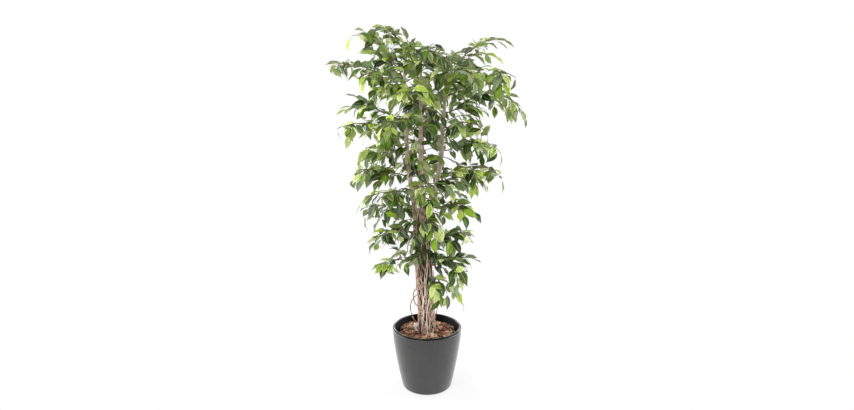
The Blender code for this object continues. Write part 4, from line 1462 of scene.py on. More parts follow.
@dataclass
class Leaves:
    """Leaves that share a piece, each with its pose and its tone, 0 deep green to 1 lime."""

    poses: list[LeafPose] = field(default_factory=list)
    tones: list[float] = field(default_factory=list)

    def add(self, pose: LeafPose, tone: float) -> None:
        """Adds one leaf."""
        self.poses.append(pose)
        self.tones.append(tone)

    def piece(self, name: str, finish: Material, nodes: tuple[str, ...], seed: int) -> None:
        """Shapes every leaf and makes the piece.

        Args:
            name: The piece's name.
            finish: The leaf's material.
            nodes: The CAD nodes that it stands for.
            seed: For the leaves' small differences.
        """
        rng = Chance(seed)
        count = len(self.poses)
        length = np.array([pose.length for pose in self.poses])
        along = unit(np.array([pose.along for pose in self.poses]))
        normal = np.array([pose.normal for pose in self.poses])
        normal = unit(normal - along * (normal * along).sum(axis=1, keepdims=True))
        axes = np.stack((np.cross(along, normal), along, normal), axis=1)
        base = np.array([pose.base for pose in self.poses])
        draw = {key: rng.uniform(*span, (count, 1)) for key, span in LEAF_SPANS.items()}
        gathered = Gathered()
        tone = np.array(self.tones)
        # The deep green leaves mostly have no lime margin
        edged = rng.uniform(0.0, 1.0, count) < np.clip((tone - 0.30) * 1.7, 0.0, 1.0)
        edging = np.where(edged, rng.uniform(0.5, 1.0, count), 0.0)
        tones = np.column_stack((tone, edging, rng.uniform(0.0, 1.0, count)))
        local = self.blades(length, draw)
        points = base[:, None] + np.einsum("nki,nij->nkj", local, axes)
        faces = BLADE.faces[None] + np.arange(count)[:, None, None] * BLADE.size
        grid = np.column_stack((BLADE.across, BLADE.along, 1.0 - BLADE.under))
        gathered.add(
            points.reshape(-1, 3),
            [faces.reshape(-1, 3)],
            blade=np.tile(grid, (count, 1)),
            tone=np.repeat(tones, BLADE.size, axis=0),
        )
        for index in range(count):
            own = {key: value[index] for key, value in draw.items()}
            self.add_stalk(gathered, base[index], axes[index], length[index], own, tones[index])
        gathered.piece(name, finish, Slot.FOLIAGE, nodes)

    @staticmethod
    def rise(share: Array, draw: dict[str, Array]) -> Array:
        """The height of the midrib over the leaf's straight line, as a share of its length."""
        arch = draw["arch"] * 4.0 * share * (1.0 - share)
        return arch - draw["droop"] * smooth((share - 0.55) / 0.45) ** 1.3

    def blades(self, length: Array, draw: dict[str, Array]) -> Array:
        """Every blade's corners in its own directions.

        Args:
            length: Each leaf's length.
            draw: Each leaf's own differences.

        Returns:
            Leaf by leaf, the distances across, along and up.
        """
        share, across = BLADE.along, BLADE.across
        size, stalk = length[:, None], draw["stalk"]
        forward = stalk + (1.0 - stalk) * share
        half = BLADE.half_width(share) * draw["width"] * 0.5
        sideways = half * across
        beat = share * RIPPLES + draw["phase"] + 0.18 * np.sign(across)
        ripple = np.sin(math.tau * beat)
        lift = self.rise(forward, draw)
        lift += draw["fold"] * np.abs(sideways) * (1.0 - 0.5 * share)
        lift += draw["wave"] * ripple * across**2 * np.sin(math.pi * share)
        twist = draw["twist"] * (forward - 0.2)
        bend = draw["bend"] * forward**2
        rib = RIB_THICK * np.clip(1.0 - np.abs(across) * 3.0, 0.0, 1.0)
        thick = (BLADE_THICK + rib) * BLADE.under
        x = (sideways * np.cos(twist) + bend) * size
        z = (lift + sideways * np.sin(twist)) * size - thick
        return np.stack((x, forward * size, z), axis=-1)

    def add_stalk(
        self, gathered: Gathered, base: Array, axes: Array, length: float,
        own: dict[str, Array], tones: Array,
    ) -> None:
        """Adds a leaf's stalk, from inside the twig to just under the blade.

        Args:
            gathered: The piece.
            base: Where the leaf begins.
            axes: Its own directions.
            length: Its length.
            own: Its differences.
            tones: Its tone.
        """
        share = np.array(STALK_SHARES) * own["stalk"]
        height = self.rise(np.clip(share, 0.0, 1.0), own) * length
        line = base + np.outer(share * length, axes[1]) + np.outer(height - 0.0003, axes[2])
        line[0] -= axes[1] * 0.002
        radius = np.array(STALK_RADII)[:, None] * np.ones(BLADE.stalk_sides)
        corners, faces = swept(line, radius)
        rows = len(corners)
        gathered.add(
            corners,
            faces,
            blade=np.tile((0.0, 0.0, 0.0), (rows, 1)),
            tone=np.tile(tones * (1.0, 0.0, 1.0), (rows, 1)),
        )


class Room:
    """The air round the leaves, so that added ones keep clear of those that are there."""

    def __init__(self, bundle: Bundle, cell: float = 0.012) -> None:
        """Starts with no leaves, and with windows before the parts of stems that stay in view.

        Args:
            bundle: The stems.
            cell: The size of the cubes that the points are sorted into.
        """
        self.cell = cell
        self.points: dict[tuple[int, ...], list[Array]] = defaultdict(list)
        self.windows: list[Array] = []
        for name, low, high in STEMS_IN_VIEW:
            line = bundle.sticks[name].line
            self.windows.append(line[(line[:, 2] > low) & (line[:, 2] < high)])

    def in_window(self, marks: Array) -> bool:
        """Tells whether a leaf would hide a part of a stem that stays in view.

        Args:
            marks: The leaf's points.

        Returns:
            Whether one of them lies before such a part.
        """
        for line in self.windows:
            levels = line[:, 2]
            inside = (marks[:, 2] > levels[0]) & (marks[:, 2] < levels[-1])
            aside = np.abs(marks[:, 0] - np.interp(marks[:, 2], levels, line[:, 0]))
            before = marks[:, 1] < np.interp(marks[:, 2], levels, line[:, 1])
            if (inside & before & (aside < WINDOW_HALF)).any():
                return True
        return False

    def fits(self, marks: Array, clear: float) -> bool:
        """Tells whether a leaf has room.

        Args:
            marks: The leaf's points.
            clear: How far each has to be from all that is there.

        Returns:
            Whether they are, inside the box and out of the windows.
        """
        if (marks < BOX_LOW).any() or (marks > BOX_HIGH).any() or self.in_window(marks):
            return False
        return not any(self.crowded(mark, clear) for mark in marks)

    def crowded(self, mark: Array, clear: float) -> bool:
        """Tells whether something is too near a point.

        Args:
            mark: The point.
            clear: How near it may be.

        Returns:
            Whether anything is nearer.
        """
        low = np.floor((mark - clear) / self.cell).astype(int)
        high = np.floor((mark + clear) / self.cell).astype(int)
        for cell in product(*(range(first, last + 1) for first, last in zip(low, high))):
            for other in self.points.get(cell, ()):
                gap = other - mark
                if abs(gap).max() < clear and np.linalg.norm(gap) < clear:
                    return True
        return False

    def fill(self, marks: Array) -> None:
        """Takes up the points' places."""
        for mark in marks:
            self.points[tuple(np.floor(mark / self.cell).astype(int))].append(mark)


@dataclass
class Twig:
    """A shoot's middle line, with its radius, in even steps."""

    line: Array
    radii: Array
    along: Array

    def spot(self, distance: float) -> tuple[Array, Array]:
        """Finds a place on the twig.

        Args:
            distance: How far along it.

        Returns:
            The point and the way ahead there.
        """
        index = int(np.clip(np.searchsorted(self.along, distance), 1, len(self.along) - 1))
        point = [np.interp(distance, self.along, row) for row in self.line.T]
        return np.array(point), unit(self.line[index] - self.line[index - 1])


@dataclass(frozen=True)
class TwigCut:
    """How twigs are made."""

    sides: int = 6
    step: float = 0.0068
    fatter: float = 1.12
    tip: float = 0.45
    grain: float = 40.0
    green: float = 0.85
    relief: Relief = Relief(0.07, 0.0, 0.03, 0.20, 0.026)


TWIG_CUT = TwigCut()


@dataclass(frozen=True)
class Foliage:
    """The finishes of leaves and twigs, and the making of their two pieces."""

    leaf: Material
    bark: Material

    def build(
        self, label: str, leaves: Leaves, twigs: list[Twig], nodes: tuple[str, ...],
        seeds: tuple[int, int],
    ) -> None:
        """Makes a piece of the leaves and a piece of the twigs.

        Args:
            label: What ends the pieces' names.
            leaves: The leaves.
            twigs: The twigs.
            nodes: The CAD nodes that they stand for.
            seeds: For the leaves' and the twigs' small differences.
        """
        leaves.piece(f"leaves_{label}", self.leaf, nodes, seeds[0])
        gathered = Gathered()
        rng = Chance(seeds[1])
        for twig in twigs:
            add_twig(gathered, twig, rng)
        gathered.piece(f"twigs_{label}", self.bark, Slot.BARK, nodes)


def add_twig(gathered: Gathered, twig: Twig, rng: Chance) -> None:
    """Adds a twig, brown at its foot and green at its tip.

    Args:
        gathered: The piece.
        twig: The twig.
        rng: For its small bends and knots.
    """
    cut = TWIG_CUT
    skin = cut.relief.skin(twig.along, cut.sides, rng)
    radius = twig.radii[:, None] * cut.fatter * (1.0 + skin)
    radius[-1] *= cut.tip
    corners, faces = swept(twig.line, radius)
    youth = np.repeat(smooth(twig.along / twig.along[-1] * 1.15 - 0.15), cut.sides) * cut.green
    around = np.tile(circle(cut.sides), (len(twig.line), 1))
    upward = np.repeat(twig.along * cut.grain, cut.sides)[:, None]
    grain = np.concatenate((around, upward), axis=1) + rng.uniform(0.0, 50.0, 3)
    # painted shade of the skin: low in its dips, high on its swells
    crevice_shading = np.clip(0.5 + skin * 2.0, 0.0, 1.0).reshape(-1)
    skin_rows = with_ends(np.column_stack((crevice_shading, youth, np.zeros(len(crevice_shading)))))
    gathered.add(corners, faces, grain=with_ends(grain), skin=skin_rows)


@dataclass
class Spray:
    """A leafy branch: the twigs and leaves of one CAD node, with more leaves between them."""

    node: str
    room: Room
    seed: int
    tries: int = 4
    tip_tries: int = 12
    clear: float = 0.0115
    tip_clear: float = 0.0095
    gap: float = 0.018
    first_gap: float = 0.022
    lengths: Span = (0.066, 0.096)
    tip_lengths: Span = (0.066, 0.090)
    leaves: Leaves = field(default_factory=Leaves)
    twigs: list[Twig] = field(default_factory=list)

    def read(self) -> None:
        """Finds the leaves and the twigs in the CAD branch."""
        points, faces = welded(self.node)
        rng = Chance(self.seed)
        taken: set[int] = set()
        blades = []
        for face in faces:
            found = blade_of(points[list(face)])
            if found is not None:
                taken |= set(face)
                blades.append(found)
        self.read_twigs(points, faces, taken)
        spots = np.vstack([twig.line for twig in self.twigs])
        ways = np.vstack([unit(np.gradient(twig.line, axis=0)) for twig in self.twigs])
        for blade in blades:
            ahead = ways[np.argmin(np.linalg.norm(spots - blade.base, axis=1))]
            leaf = self.turned(blade, ahead, rng)
            self.leaves.add(leaf, self.tone(rng, leaf.base))
            self.room.fill(leaf.marks())

    def turned(self, blade: LeafPose, ahead: Array, rng: Chance) -> LeafPose:
        """Turns a leaf somewhat along its twig and rolls it, where there is room.

        Args:
            blade: The pose of the CAD leaf.
            ahead: The way its twig runs.
            rng: For how far it turns.

        Returns:
            The pose of the leaf as it is made.
        """
        along, normal = blade.along, blade.normal
        for share in (rng.uniform(0.45, 0.95), rng.uniform(0.2, 0.5), 0.1):
            heading = unit(along * (1.0 - 0.35 * share) + ahead * share + UP * 0.12 * share)
            side = np.cross(heading, normal)
            facing = unit(normal * 1.1 + UP * 0.4 + side * rng.uniform(-0.9, 0.9))
            facing = unit(facing - heading * facing.dot(heading))
            leaf = LeafPose(blade.base, heading, facing, blade.length * rng.uniform(1.06, 1.22))
            if self.room.fits(leaf.marks(), TURN_CLEAR):
                return leaf
        return blade

    @staticmethod
    def tone(rng: Chance, place: Array) -> float:
        """Chooses a leaf's tone: deeper near the stems and in drifts, fresher further out.

        Args:
            rng: For the choice.
            place: Where the leaf is.

        Returns:
            The tone, from 0, deep green, to 1, lime.
        """
        outward = min(1.0, math.hypot(place[0], place[1]) / CROWN_REACH)
        drift = noise.noise(Vector(place) * 5.5)
        chance = rng.uniform(0.0, 1.0) + 0.34 * drift + 0.30 * (outward - 0.5)
        low = place[2] < LOW_LEAVES
        deep = 0.52 if low else 0.46 - 0.12 * smooth((place[2] - 0.95) / 0.2)
        if chance < deep:
            return rng.uniform(0.0, 0.26)
        if chance < (0.62 if low else 0.70):
            return rng.uniform(0.30, 0.62)
        return rng.uniform(0.66, 1.0)

    def read_twigs(self, points: Array, faces: Faces, taken: set[int]) -> None:
        """Follows the three-cornered rings of the CAD twigs.

        Args:
            points: The branch's corners.
            faces: Its triangles.
            taken: The corners of its leaves.
        """
        beside = {
            corner: near - taken
            for corner, near in neighbours_of(faces).items()
            if corner not in taken
        }
        rings = []
        for first in sorted(beside):
            for second in sorted(beside[first]):
                for third in sorted(beside[first] & beside[second]):
                    if first < second < third and is_ring(points[[first, second, third]]):
                        rings.append((first, second, third))
        centres = [points[list(ring)].mean(axis=0) for ring in rings]
        radii = [np.linalg.norm(points[ring[0]] - centre) for ring, centre in zip(rings, centres)]
        joins: dict[int, list[int]] = defaultdict(list)
        feet: dict[int, list[Array]] = defaultdict(list)
        for one, ring in enumerate(rings):
            for other in range(one + 1, len(rings)):
                shared = sum(len(beside[corner] & set(rings[other])) for corner in ring)
                if shared >= JOINED:
                    joins[one].append(other)
                    joins[other].append(one)
                elif shared:
                    feet[one].append(centres[other])
                    feet[other].append(centres[one])
        seen: set[int] = set()
        for start in range(len(rings)):
            if start in seen or len(joins[start]) != 1:
                continue
            chain = [start]
            while True:
                ahead = [other for other in joins[chain[-1]] if other not in chain]
                if not ahead:
                    break
                chain.append(ahead[0])
            seen |= set(chain)
            if radii[chain[0]] < radii[chain[-1]]:
                chain.reverse()
            line = [centres[ring] for ring in chain]
            sizes = [radii[ring] for ring in chain]
            if feet[chain[0]]:
                line.insert(0, np.mean(feet[chain[0]], axis=0))
                sizes.insert(0, sizes[0] * 1.05)
            if len(line) > 1:
                path = curve_through(np.array(line), np.array(sizes), TWIG_CUT.step)
                self.twigs.append(Twig(*path))

    def added(self, pose: LeafPose, clear: float, rng: Chance) -> bool:
        """Adds a leaf where it has room.

        Args:
            pose: The leaf's pose.
            clear: How far it stays from the others.
            rng: For its tone.

        Returns:
            Whether it was added.
        """
        marks = pose.marks()
        if not self.room.fits(marks, clear):
            return False
        self.room.fill(marks)
        self.leaves.add(pose, self.tone(rng, pose.base))
        return True

    def tip_leaves(self) -> None:
        """Ends the twigs in a leaf each, where their ends would be bare."""
        rng = Chance(self.seed + 700)
        for twig in self.twigs:
            for _ in range(self.tip_tries):
                if self.added(ended(twig, rng, self.tip_lengths), self.tip_clear, rng):
                    break

    def thicken(self) -> None:
        """Adds smaller leaves to the twigs wherever there is room."""
        rng = Chance(self.seed + 500)
        for twig in self.twigs:
            for distance in np.arange(self.first_gap, twig.along[-1], self.gap):
                for _ in range(self.tries):
                    pose = sprouted(twig, distance, rng, self.lengths)
                    if self.added(pose, self.clear, rng):
                        break

    def build(self, foliage: Foliage) -> None:
        """Makes the branch's two pieces."""
        seeds = self.seed, self.seed + 900
        foliage.build(self.node[-2:], self.leaves, self.twigs, (self.node,), seeds)


@dataclass
class Crown:
    """All the leafy branches, which share the room between them."""

    room: Room
    first_seed: int = 100

    def build(self, foliage: Foliage) -> None:
        """Reads the branches, adds leaves to their ends and along them, and makes them.

        Args:
            foliage: The finishes.
        """
        numbered = enumerate(BRANCHES, self.first_seed)
        sprays = [Spray(node, self.room, seed) for seed, node in numbered]
        for spray in sprays:
            spray.read()
        for spray in sprays:
            spray.tip_leaves()
        for spray in sprays:
            spray.thicken()
            spray.build(foliage)
        LOG.info("%d leaves on the branches", sum(len(spray.leaves.poses) for spray in sprays))


def blade_of(corners: Array) -> LeafPose | None:
    """Tells whether a triangle is the blade of a CAD leaf.

    Args:
        corners: Its three corners.

    Returns:
        The leaf's pose, or nothing.
    """
    for tip in range(3):
        one, other = corners[(tip + 1) % 3], corners[(tip + 2) % 3]
        width = np.linalg.norm(one - other)
        edges = np.linalg.norm(corners[tip] - one), np.linalg.norm(corners[tip] - other)
        length = width / CAD_WIDTH
        even = abs(edges[0] - edges[1]) < 2e-4 and abs(edges[0] - CAD_EDGE * length) < 4e-4
        if even and CAD_LENGTHS[0] < length < CAD_LENGTHS[1]:
            middle = (one + other) / 2.0
            along = unit(corners[tip] - middle)
            normal = unit(np.cross(corners[1] - corners[0], corners[2] - corners[0]))
            if normal[2] < 0.0:
                normal = -normal
            return LeafPose(corners[tip] - along * length, along, normal, float(length))
    return None


def is_ring(corners: Array) -> bool:
    """Whether three corners stand evenly round a twig."""
    sides = np.linalg.norm(corners - np.roll(corners, 1, axis=0), axis=1)
    return bool(sides.max() < CAD_RING and np.ptp(sides) < CAD_UNEVEN * sides.max())


def sprouted(twig: Twig, distance: float, rng: Chance, sizes: Span) -> LeafPose:
    """A possible new leaf on a twig.

    Args:
        twig: The twig.
        distance: How far along it the leaf sits.
        rng: For its direction and size.
        sizes: The shortest and the longest length.

    Returns:
        Its pose.
    """
    point, ahead = twig.spot(distance)
    side = unit(np.cross(ahead, UP))
    above = np.cross(side, ahead)
    angle = rng.uniform(-0.7, math.pi + 0.7)
    root = side * math.cos(angle) - above * math.sin(angle) * 0.8
    heading = ahead * rng.uniform(0.25, 0.8) + root * rng.uniform(0.5, 1.0)
    heading = unit(heading - UP * rng.uniform(0.1, 0.9))
    facing = UP * 0.75 + unit(point * (1.0, 1.0, 0.0)) * rng.uniform(0.2, 0.9)
    facing = facing + side * rng.uniform(-0.6, 0.6)
    normal = unit(facing - heading * facing.dot(heading))
    length = rng.uniform(*sizes) * (1.0 - 0.2 * distance / twig.along[-1])
    return LeafPose(point + unit(root) * 0.002, heading, normal, float(length))


def ended(twig: Twig, rng: Chance, sizes: Span) -> LeafPose:
    """A possible leaf at the end of a twig, which runs on as the twig does.

    Args:
        twig: The twig.
        rng: For its direction and size.
        sizes: The shortest and the longest length.

    Returns:
        Its pose.
    """
    point, ahead = twig.spot(twig.along[-1])
    side = unit(np.cross(ahead, UP))
    heading = unit(ahead + side * rng.uniform(-0.5, 0.5) - UP * rng.uniform(0.0, 0.5))
    facing = UP + side * rng.uniform(-0.5, 0.5)
    normal = unit(facing - heading * facing.dot(heading))
    return LeafPose(point - ahead * 0.001, heading, normal, float(rng.uniform(*sizes)))


@dataclass(frozen=True)
class Shoot:
    """One short shoot: where it starts on a stem, and how it runs."""

    stem: str
    height: float
    azimuth: float
    length: float
    slope: float
    fall: float
    gap: float = 0.024
    tones: Span | None = None
    steps: int = 9
    radii: Span = (0.0019, 0.0009)

    def twig(self, bundle: Bundle) -> Twig:
        """Draws the shoot's line, out of its stem and then down.

        Args:
            bundle: The bundle with its stem.

        Returns:
            The twig.
        """
        centre, radius = bundle.sticks[self.stem].at_height(self.height)
        out = np.array((math.cos(self.azimuth), math.sin(self.azimuth), 0.0))
        line = [centre + out * radius * 0.6]
        for step in range(self.steps):
            tilt = self.slope - self.fall * (step / self.steps) ** 1.3
            way = out * math.cos(tilt) + UP * math.sin(tilt)
            line.append(line[-1] + way * self.length / self.steps)
        sizes = np.linspace(*self.radii, len(line))
        return Twig(*curve_through(np.array(line), sizes, TWIG_CUT.step))


@dataclass
class Sprigs:
    """Short shoots on the stems that fill the air between the branches."""

    bundle: Bundle
    room: Room
    tries: int = 700
    most: int = 74
    fewest: int = 3
    clear: float = 0.0190
    placed_clear: float = 0.009
    heights: Span = (0.66, 1.56)
    lengths: Span = (0.070, 0.098)
    first_gap: float = 0.028
    placed: tuple[Shoot, ...] = (
        Shoot("stem_centre", 1.58, -2.2, 0.17, 1.25, 0.9, 0.016),
        Shoot("stem_left", 1.56, -1.2, 0.17, 1.30, 0.8, 0.016),
        Shoot("stem_centre", 1.61, -0.9, 0.13, 1.10, 0.9, 0.016),
        Shoot("stem_right", 1.55, -1.0, 0.15, 1.25, 0.9, 0.016),
        Shoot("stem_right", 1.57, -2.4, 0.15, 1.25, 1.0, 0.016),
        Shoot("stem_right", 0.60, -1.0, 0.17, -0.3, 1.3, 0.016),
        Shoot("stem_right", 0.72, -0.9, 0.13, 0.3, 1.3, 0.014, (0.0, 0.14)),
        Shoot("stem_right", 0.70, -0.5, 0.11, 0.1, 1.0, 0.014, (0.0, 0.10)),
        Shoot("stem_centre", 0.73, -1.7, 0.10, 0.5, 1.9, 0.014, (0.0, 0.20)),
        Shoot("stem_left", 0.80, -2.0, 0.12, 0.3, 1.5, 0.016),
        Shoot("stem_centre", 0.84, -1.4, 0.12, 0.5, 1.6, 0.016),
    )

    def grow(self) -> tuple[Leaves, list[Twig]]:
        """Grows sprigs where there is room for most of their leaves.

        Returns:
            Their leaves and their twigs.
        """
        rng = Chance(2024)
        leaves, twigs = Leaves(), []
        for number in range(self.tries):
            if len(twigs) >= self.most:
                break
            given = number < len(self.placed)
            shoot = self.placed[number] if given else self.chance_shoot(rng)
            twig = shoot.twig(self.bundle)
            grown = self.leaves_on(twig, shoot.gap, given, rng)
            if len(grown) < self.fewest:
                continue
            twigs.append(twig)
            for pose in grown:
                self.room.fill(pose.marks())
                tone = rng.uniform(*shoot.tones) if shoot.tones else Spray.tone(rng, pose.base)
                leaves.add(pose, tone)
        return leaves, twigs

    def leaves_on(self, twig: Twig, gap: float, given: bool, rng: Chance) -> list[LeafPose]:
        """Finds the leaves that have room on a shoot.

        Args:
            twig: The shoot's line.
            gap: The distance between its leaves.
            given: Whether it is a placed shoot, whose leaves may stand closer.
            rng: For the leaves' directions and sizes.

        Returns:
            Their poses.
        """
        tries, clear = (6, self.placed_clear) if given else (3, self.clear)
        grown: list[LeafPose] = []
        for distance in np.arange(self.first_gap, twig.along[-1] + 0.001, gap):
            for _ in range(tries):
                pose = sprouted(twig, distance, rng, self.lengths)
                marks = pose.marks()
                if self.room.fits(marks, clear):
                    grown.append(pose)
                    if given:
                        self.room.fill(marks)
                    break
        return grown

    def chance_shoot(self, rng: Chance) -> Shoot:
        """Draws a shoot from somewhere on a stem, out and down; the low ones are short.

        Args:
            rng: For its place and shape.

        Returns:
            The shoot.
        """
        stem = STEMS[rng.randint(4)]
        height = rng.uniform(*self.heights)
        reach = 0.5 + 0.5 * smooth((height - 0.6) / 0.4)
        azimuth, length = rng.uniform(0.0, math.tau), rng.uniform(0.08, 0.18) * reach
        return Shoot(stem, height, azimuth, length, rng.uniform(0.1, 0.9), rng.uniform(0.6, 1.6))

    def build(self, foliage: Foliage) -> None:
        """Makes the sprigs' two pieces.

        Args:
            foliage: The finishes.
        """
        leaves, twigs = self.grow()
        foliage.build("sprigs", leaves, twigs, (), (4321, 4322))
        LOG.info("%d sprigs with %d leaves", len(twigs), len(leaves.poses))


# ---- Pots ----
@dataclass
class TurnedPot:
    """A pot turned from the outline of its CAD node, with its edges eased."""

    node: str
    slot: Slot
    finish: Material
    ease: float
    sides: int = 144
    sharp: float = 38.0

    def outline(self) -> Array:
        """Reads the outline of the CAD pot.

        Returns:
            A loop of radius and height, in order.
        """
        points, faces = welded(self.node)
        radius = np.hypot(points[:, 0], points[:, 1])
        in_plane = (np.abs(points[:, 1]) < 1e-4) & (points[:, 0] > -1e-4)
        flat = np.flatnonzero(in_plane).tolist()
        beside = neighbours_of(faces)
        bottom = min(flat, key=lambda i: (round(radius[i], 4), points[i, 2]))
        order = [bottom]
        while True:
            ahead = [i for i in flat if i in beside[order[-1]] and i not in order]
            if not ahead:
                break
            order.append(min(ahead, key=lambda i: points[i, 2] if len(order) == 1 else 0.0))
        return np.column_stack((radius[order], points[order, 2]))

    def eased(self, outline: Array) -> Array:
        """Cuts each corner twice, so that it reads as rounded.

        Args:
            outline: The outline.

        Returns:
            The outline with eased corners.
        """
        for share in (1.0, 0.45):
            rows = [outline[0]]
            for before, corner, after in zip(outline, outline[1:], outline[2:]):
                for end in (before, after):
                    gap = np.linalg.norm(end - corner)
                    rows.append(corner + (end - corner) * min(self.ease * share / gap, 0.25))
            rows.append(outline[-1])
            outline = np.array(rows)
        return outline

    def build(self) -> None:
        """Turns the pot."""
        outline = self.eased(self.outline())
        body = outline[1:-1]
        sideways = circle(self.sides)[None] * body[:, None, :1]
        upright = np.broadcast_to(body[:, None, 1:], (len(body), self.sides, 1))
        points = np.concatenate((sideways, upright), axis=-1).reshape(-1, 3)
        ends = np.array([(0.0, 0.0, outline[0, 1]), (0.0, 0.0, outline[-1, 1])])
        gathered = Gathered()
        gathered.add(np.vstack((points, ends)), tube_faces(len(body), self.sides))
        obj = gathered.piece(f"turned_{self.node}", self.finish, self.slot, (self.node,))
        obj.data.set_sharp_from_angle(angle=math.radians(self.sharp))


@dataclass
class PottingSoil:
    """The soil in the liner, which keeps its CAD shape under the mulch."""

    finish: Material
    node: str = "potting_soil"

    def dress(self) -> None:
        """Gives the soil its material."""
        soil = frame["nodes"][self.node]
        soil.data.materials.clear()
        soil.data.materials.append(self.finish)
        LOG.info("%s keeps its shape", self.node)


# ---- Mulch ----
@dataclass
class Mulch:
    """Coir heaped round the stems: a crumbly bed, lumps, crumbs and loose fibres."""

    finish: Material
    lumps: int = 66
    crumbs: int = 520
    fibres: int = 300
    lump_sizes: Span = (0.0100, 0.0250)
    crumb_sizes: Span = (0.0020, 0.0060)
    inside: float = 0.046
    roughness: float = 0.0032
    sunk: float = 0.0024
    node: str = "coir_mulch"
    ground: BVHTree = field(init=False)
    outside: float = field(init=False)
    floor: float = field(init=False)
    top: float = field(init=False)

    def build(self) -> None:
        """Makes the mulch's pieces."""
        points, faces = welded(self.node)
        self.ground = BVHTree.FromPolygons([Vector(p) for p in points], faces)
        self.outside = float(np.hypot(points[:, 0], points[:, 1]).max())
        self.floor, self.top = (corner.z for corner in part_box(self.node))
        self.bed(points, faces)
        self.scatter("mulch_lumps", self.lumps, self.lump_sizes, 4, 0.64, 501)
        self.scatter("mulch_crumbs", self.crumbs, self.crumb_sizes, 2, 0.10, 502)
        self.loose_fibres()

    def surface(self, x: float, y: float) -> float:
        """The height of the CAD mulch at a place."""
        hit = self.ground.ray_cast(Vector((x, y, 1.0)), Vector((0.0, 0.0, -1.0)))[0]
        return hit.z if hit else self.top - 0.02

    def bed(self, points: Array, faces: Faces) -> None:
        """Makes the bed under the lumps from the CAD ring, refined and roughened.

        Args:
            points: The ring's corners.
            faces: Its faces.
        """
        bm = reopened(points, faces)
        bmesh.ops.subdivide_edges(bm, edges=bm.edges, cuts=3, use_grid_fill=True)
        for vert in bm.verts:
            if vert.co.z > self.floor + 0.002:
                crumb = noise.fractal(vert.co * 120.0, 1.0, 2.0, 4)
                vert.co.z += self.roughness * crumb - self.sunk
        mesh = closed(bm, "mulch_bed")
        spots = np.array([v.co[:] for v in mesh.vertices])
        # painted shade: the bed between the lumps gets a dark tone and little lift
        lift = np.clip((spots[:, 2] - self.floor) / (self.top - self.floor), 0.0, 1.0)
        painted(mesh, "lump", np.column_stack((np.full(len(spots), 0.10), lift * 0.25, lift)))
        placed(mesh, self.finish, Slot.MULCH, (self.node,))

    def spot(self, rng: random.Random, margin: float) -> tuple[float, float]:
        """Picks a random place on the ring, clear of the wall and the stems.

        Args:
            rng: For the choice.
            margin: How far it stays from the wall.

        Returns:
            The place, seen from above.
        """
        low, high = self.inside + margin * 0.6, self.outside - margin
        radius = math.sqrt(rng.uniform(low**2, high**2))
        angle = rng.uniform(0.0, math.tau)
        return radius * math.cos(angle), radius * math.sin(angle)

    def scatter(
        self, name: str, count: int, sizes: Span, detail: int, gap: float, seed: int
    ) -> None:
        """Scatters torn lumps over the bed.

        Args:
            name: The piece's name.
            count: How many there are.
            sizes: The smallest and the largest radius.
            detail: How finely each is divided.
            gap: How far apart two stand, as a share of their sizes together.
            seed: For their places and shapes.
        """
        rng = random.Random(seed)
        bm = bmesh.new()
        bmesh.ops.create_icosphere(bm, subdivisions=detail, radius=1.0)
        ball = np.array([v.co[:] for v in bm.verts])
        faces = np.array([[v.index for v in f.verts] for f in bm.faces])
        bm.free()
        gathered = Gathered()
        there: list[tuple[float, float, float]] = []
        tries = 0
        while len(there) < count and tries < count * 40:
            tries += 1
            size = rng.uniform(*sizes)
            x, y = self.spot(rng, size)
            if any(math.hypot(x - a, y - b) < (size + c) * gap for a, b, c in there):
                continue
            there.append((x, y, size))
            shape = self.torn(ball, rng, size)
            height = self.surface(x, y) - size * rng.uniform(0.05, 0.35)
            shape[:, 2] = np.minimum(shape[:, 2] + height, self.top + 0.008)
            shape[:, :2] += (x, y)
            # painted shade and light: darker low on each lump, lighter on its top
            lift = np.clip((shape[:, 2] - height) / size * 0.6 + 0.5, 0.0, 1.0)
            rows = np.column_stack((np.full(len(shape), rng.random()), lift, lift))
            gathered.add(shape, [faces], lump=rows)
        gathered.piece(name, self.finish, Slot.MULCH)

    @staticmethod
    def torn(ball: Array, rng: random.Random, size: float) -> Array:
        """Stretches, squashes and tears a ball into a lump of fibre.

        Args:
            ball: The ball's corners.
            rng: For the lump's shape.
            size: The lump's radius.

        Returns:
            The lump's corners.
        """
        stretch = (rng.uniform(0.8, 1.35), rng.uniform(0.7, 1.1), rng.uniform(0.5, 0.8))
        shift = Vector([rng.uniform(0.0, 60.0) for _ in range(3)])
        rows = []
        for corner in ball:
            way = Vector(corner)
            coarse = noise.fractal(way * 1.4 + shift, 1.0, 2.0, 3)
            fine = noise.fractal(way * 5.5 + shift, 0.7, 2.1, 4)
            pits = min(0.0, noise.noise(way * 3.4 + shift))
            rows.append(corner * (1.0 + 0.42 * coarse + 0.26 * fine + 0.70 * pits))
        turn = rng.uniform(0.0, math.tau)
        spin = np.array((
            (math.cos(turn), -math.sin(turn), 0.0), (math.sin(turn), math.cos(turn), 0.0), (0, 0, 1)
        ))
        return (np.array(rows) * stretch * size) @ spin.T

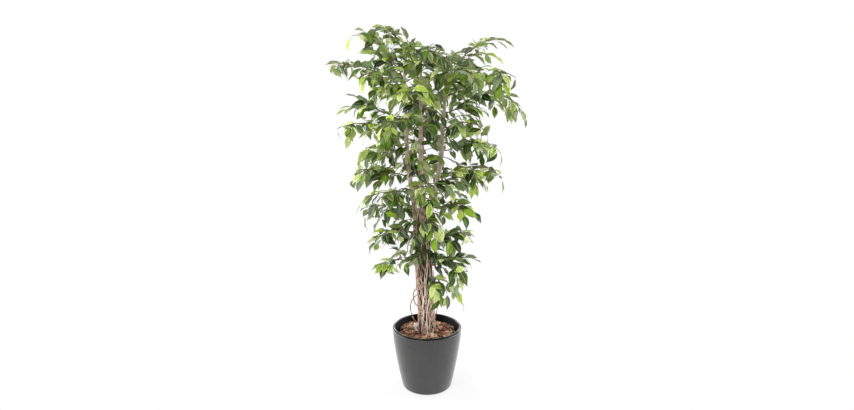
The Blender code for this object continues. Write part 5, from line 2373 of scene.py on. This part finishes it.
    def loose_fibres(self) -> None:
        """Lays thin curled fibres over the lumps."""
        rng = random.Random(503)
        gathered = Gathered()
        rim, steps = self.outside - 0.002, 7
        for _ in range(self.fibres):
            x, y = self.spot(rng, 0.012)
            turn = rng.uniform(0.0, math.tau)
            length, curl = rng.uniform(0.012, 0.034), rng.uniform(-2.0, 2.0)
            line = []
            for step in range(steps):
                share = step / (steps - 1)
                x += math.cos(turn + curl * share) * length / steps
                y += math.sin(turn + curl * share) * length / steps
                reach = math.hypot(x, y)
                if reach > rim:
                    x, y = x * rim / reach, y * rim / reach
                arch = rng.uniform(0.0, 0.004) + 0.006 * math.sin(math.pi * share)
                line.append((x, y, min(self.surface(x, y) + arch, self.top + 0.007)))
            radius = np.full((steps, 4), rng.uniform(0.00025, 0.0006))
            corners, faces = swept(np.array(line), radius)
            # the fibres lie on top, so they get the painted light of high parts
            rows = np.tile((rng.uniform(0.3, 1.0), 0.9, 0.9), (len(corners), 1))
            gathered.add(corners, faces, lump=rows)
        gathered.piece("mulch_fibres", self.finish, Slot.MULCH)


# ---- Pale root ----
@dataclass
class PaleRoot:
    """The peeled, angular end of root at the foot of the bundle."""

    finish: Material
    node: str = "root_tip_pale"
    notch: float = 0.0065
    notch_height: float = 0.321
    notch_reach: float = 0.007
    edge: float = 0.0007
    unevenness: float = 0.0006
    sharp: float = 50.0

    def build(self) -> None:
        """Makes it from the CAD piece, with eased edges and a split, uneven skin."""
        bm = reopened(*welded(self.node))
        bmesh.ops.dissolve_limit(bm, angle_limit=math.radians(4.0), verts=bm.verts, edges=bm.edges)
        edges = [edge for edge in bm.edges if edge.calc_face_angle(0.0) > 0.3]
        bmesh.ops.bevel(bm, geom=edges, offset=self.edge, segments=2, profile=0.6, affect="EDGES")
        bmesh.ops.triangulate(bm, faces=bm.faces)
        bmesh.ops.subdivide_edges(bm, edges=bm.edges, cuts=3, use_grid_fill=True)
        middle = sum((vert.co for vert in bm.verts), Vector()) / len(bm.verts)
        for vert in bm.verts:
            place = vert.co.copy()
            if place.x > middle.x:
                level = (place.z - self.notch_height) / self.notch_reach
                vert.co.x -= self.notch * math.exp(-(level**2))
            place.z *= 0.25
            away = (vert.co - middle).normalized()
            vert.co += away * self.unevenness * noise.noise(place * 420.0)
        obj = placed(closed(bm, "peeled_root_tip"), self.finish, Slot.PALE_WOOD, (self.node,))
        obj.data.set_sharp_from_angle(angle=math.radians(self.sharp))


def main() -> None:
    """Builds every part of the plant in order."""
    logging.basicConfig(level=logging.INFO, format="%(name)s: %(message)s")
    Studio().build()
    TurnedPot("planter", Slot.PLANTER, CHARCOAL.material(), 0.0012).build()
    TurnedPot("planter_liner", Slot.LINER, GLOSS_BLACK.material(), 0.0009).build()
    PottingSoil(SoilFinish().material()).dress()
    Mulch(COIR.material()).build()
    PaleRoot(PaleWoodFinish().material()).build()
    bundle = Bundle(BARK.material(), VINE_BARK.material(), PALE_BARK.material())
    bundle.build()
    foliage = Foliage(LeafFinish().material(), TWIG_BARK.material())
    room = Room(bundle)
    Crown(room).build(foliage)
    Sprigs(bundle, room).build(foliage)


if __name__ == "__main__":
    main()
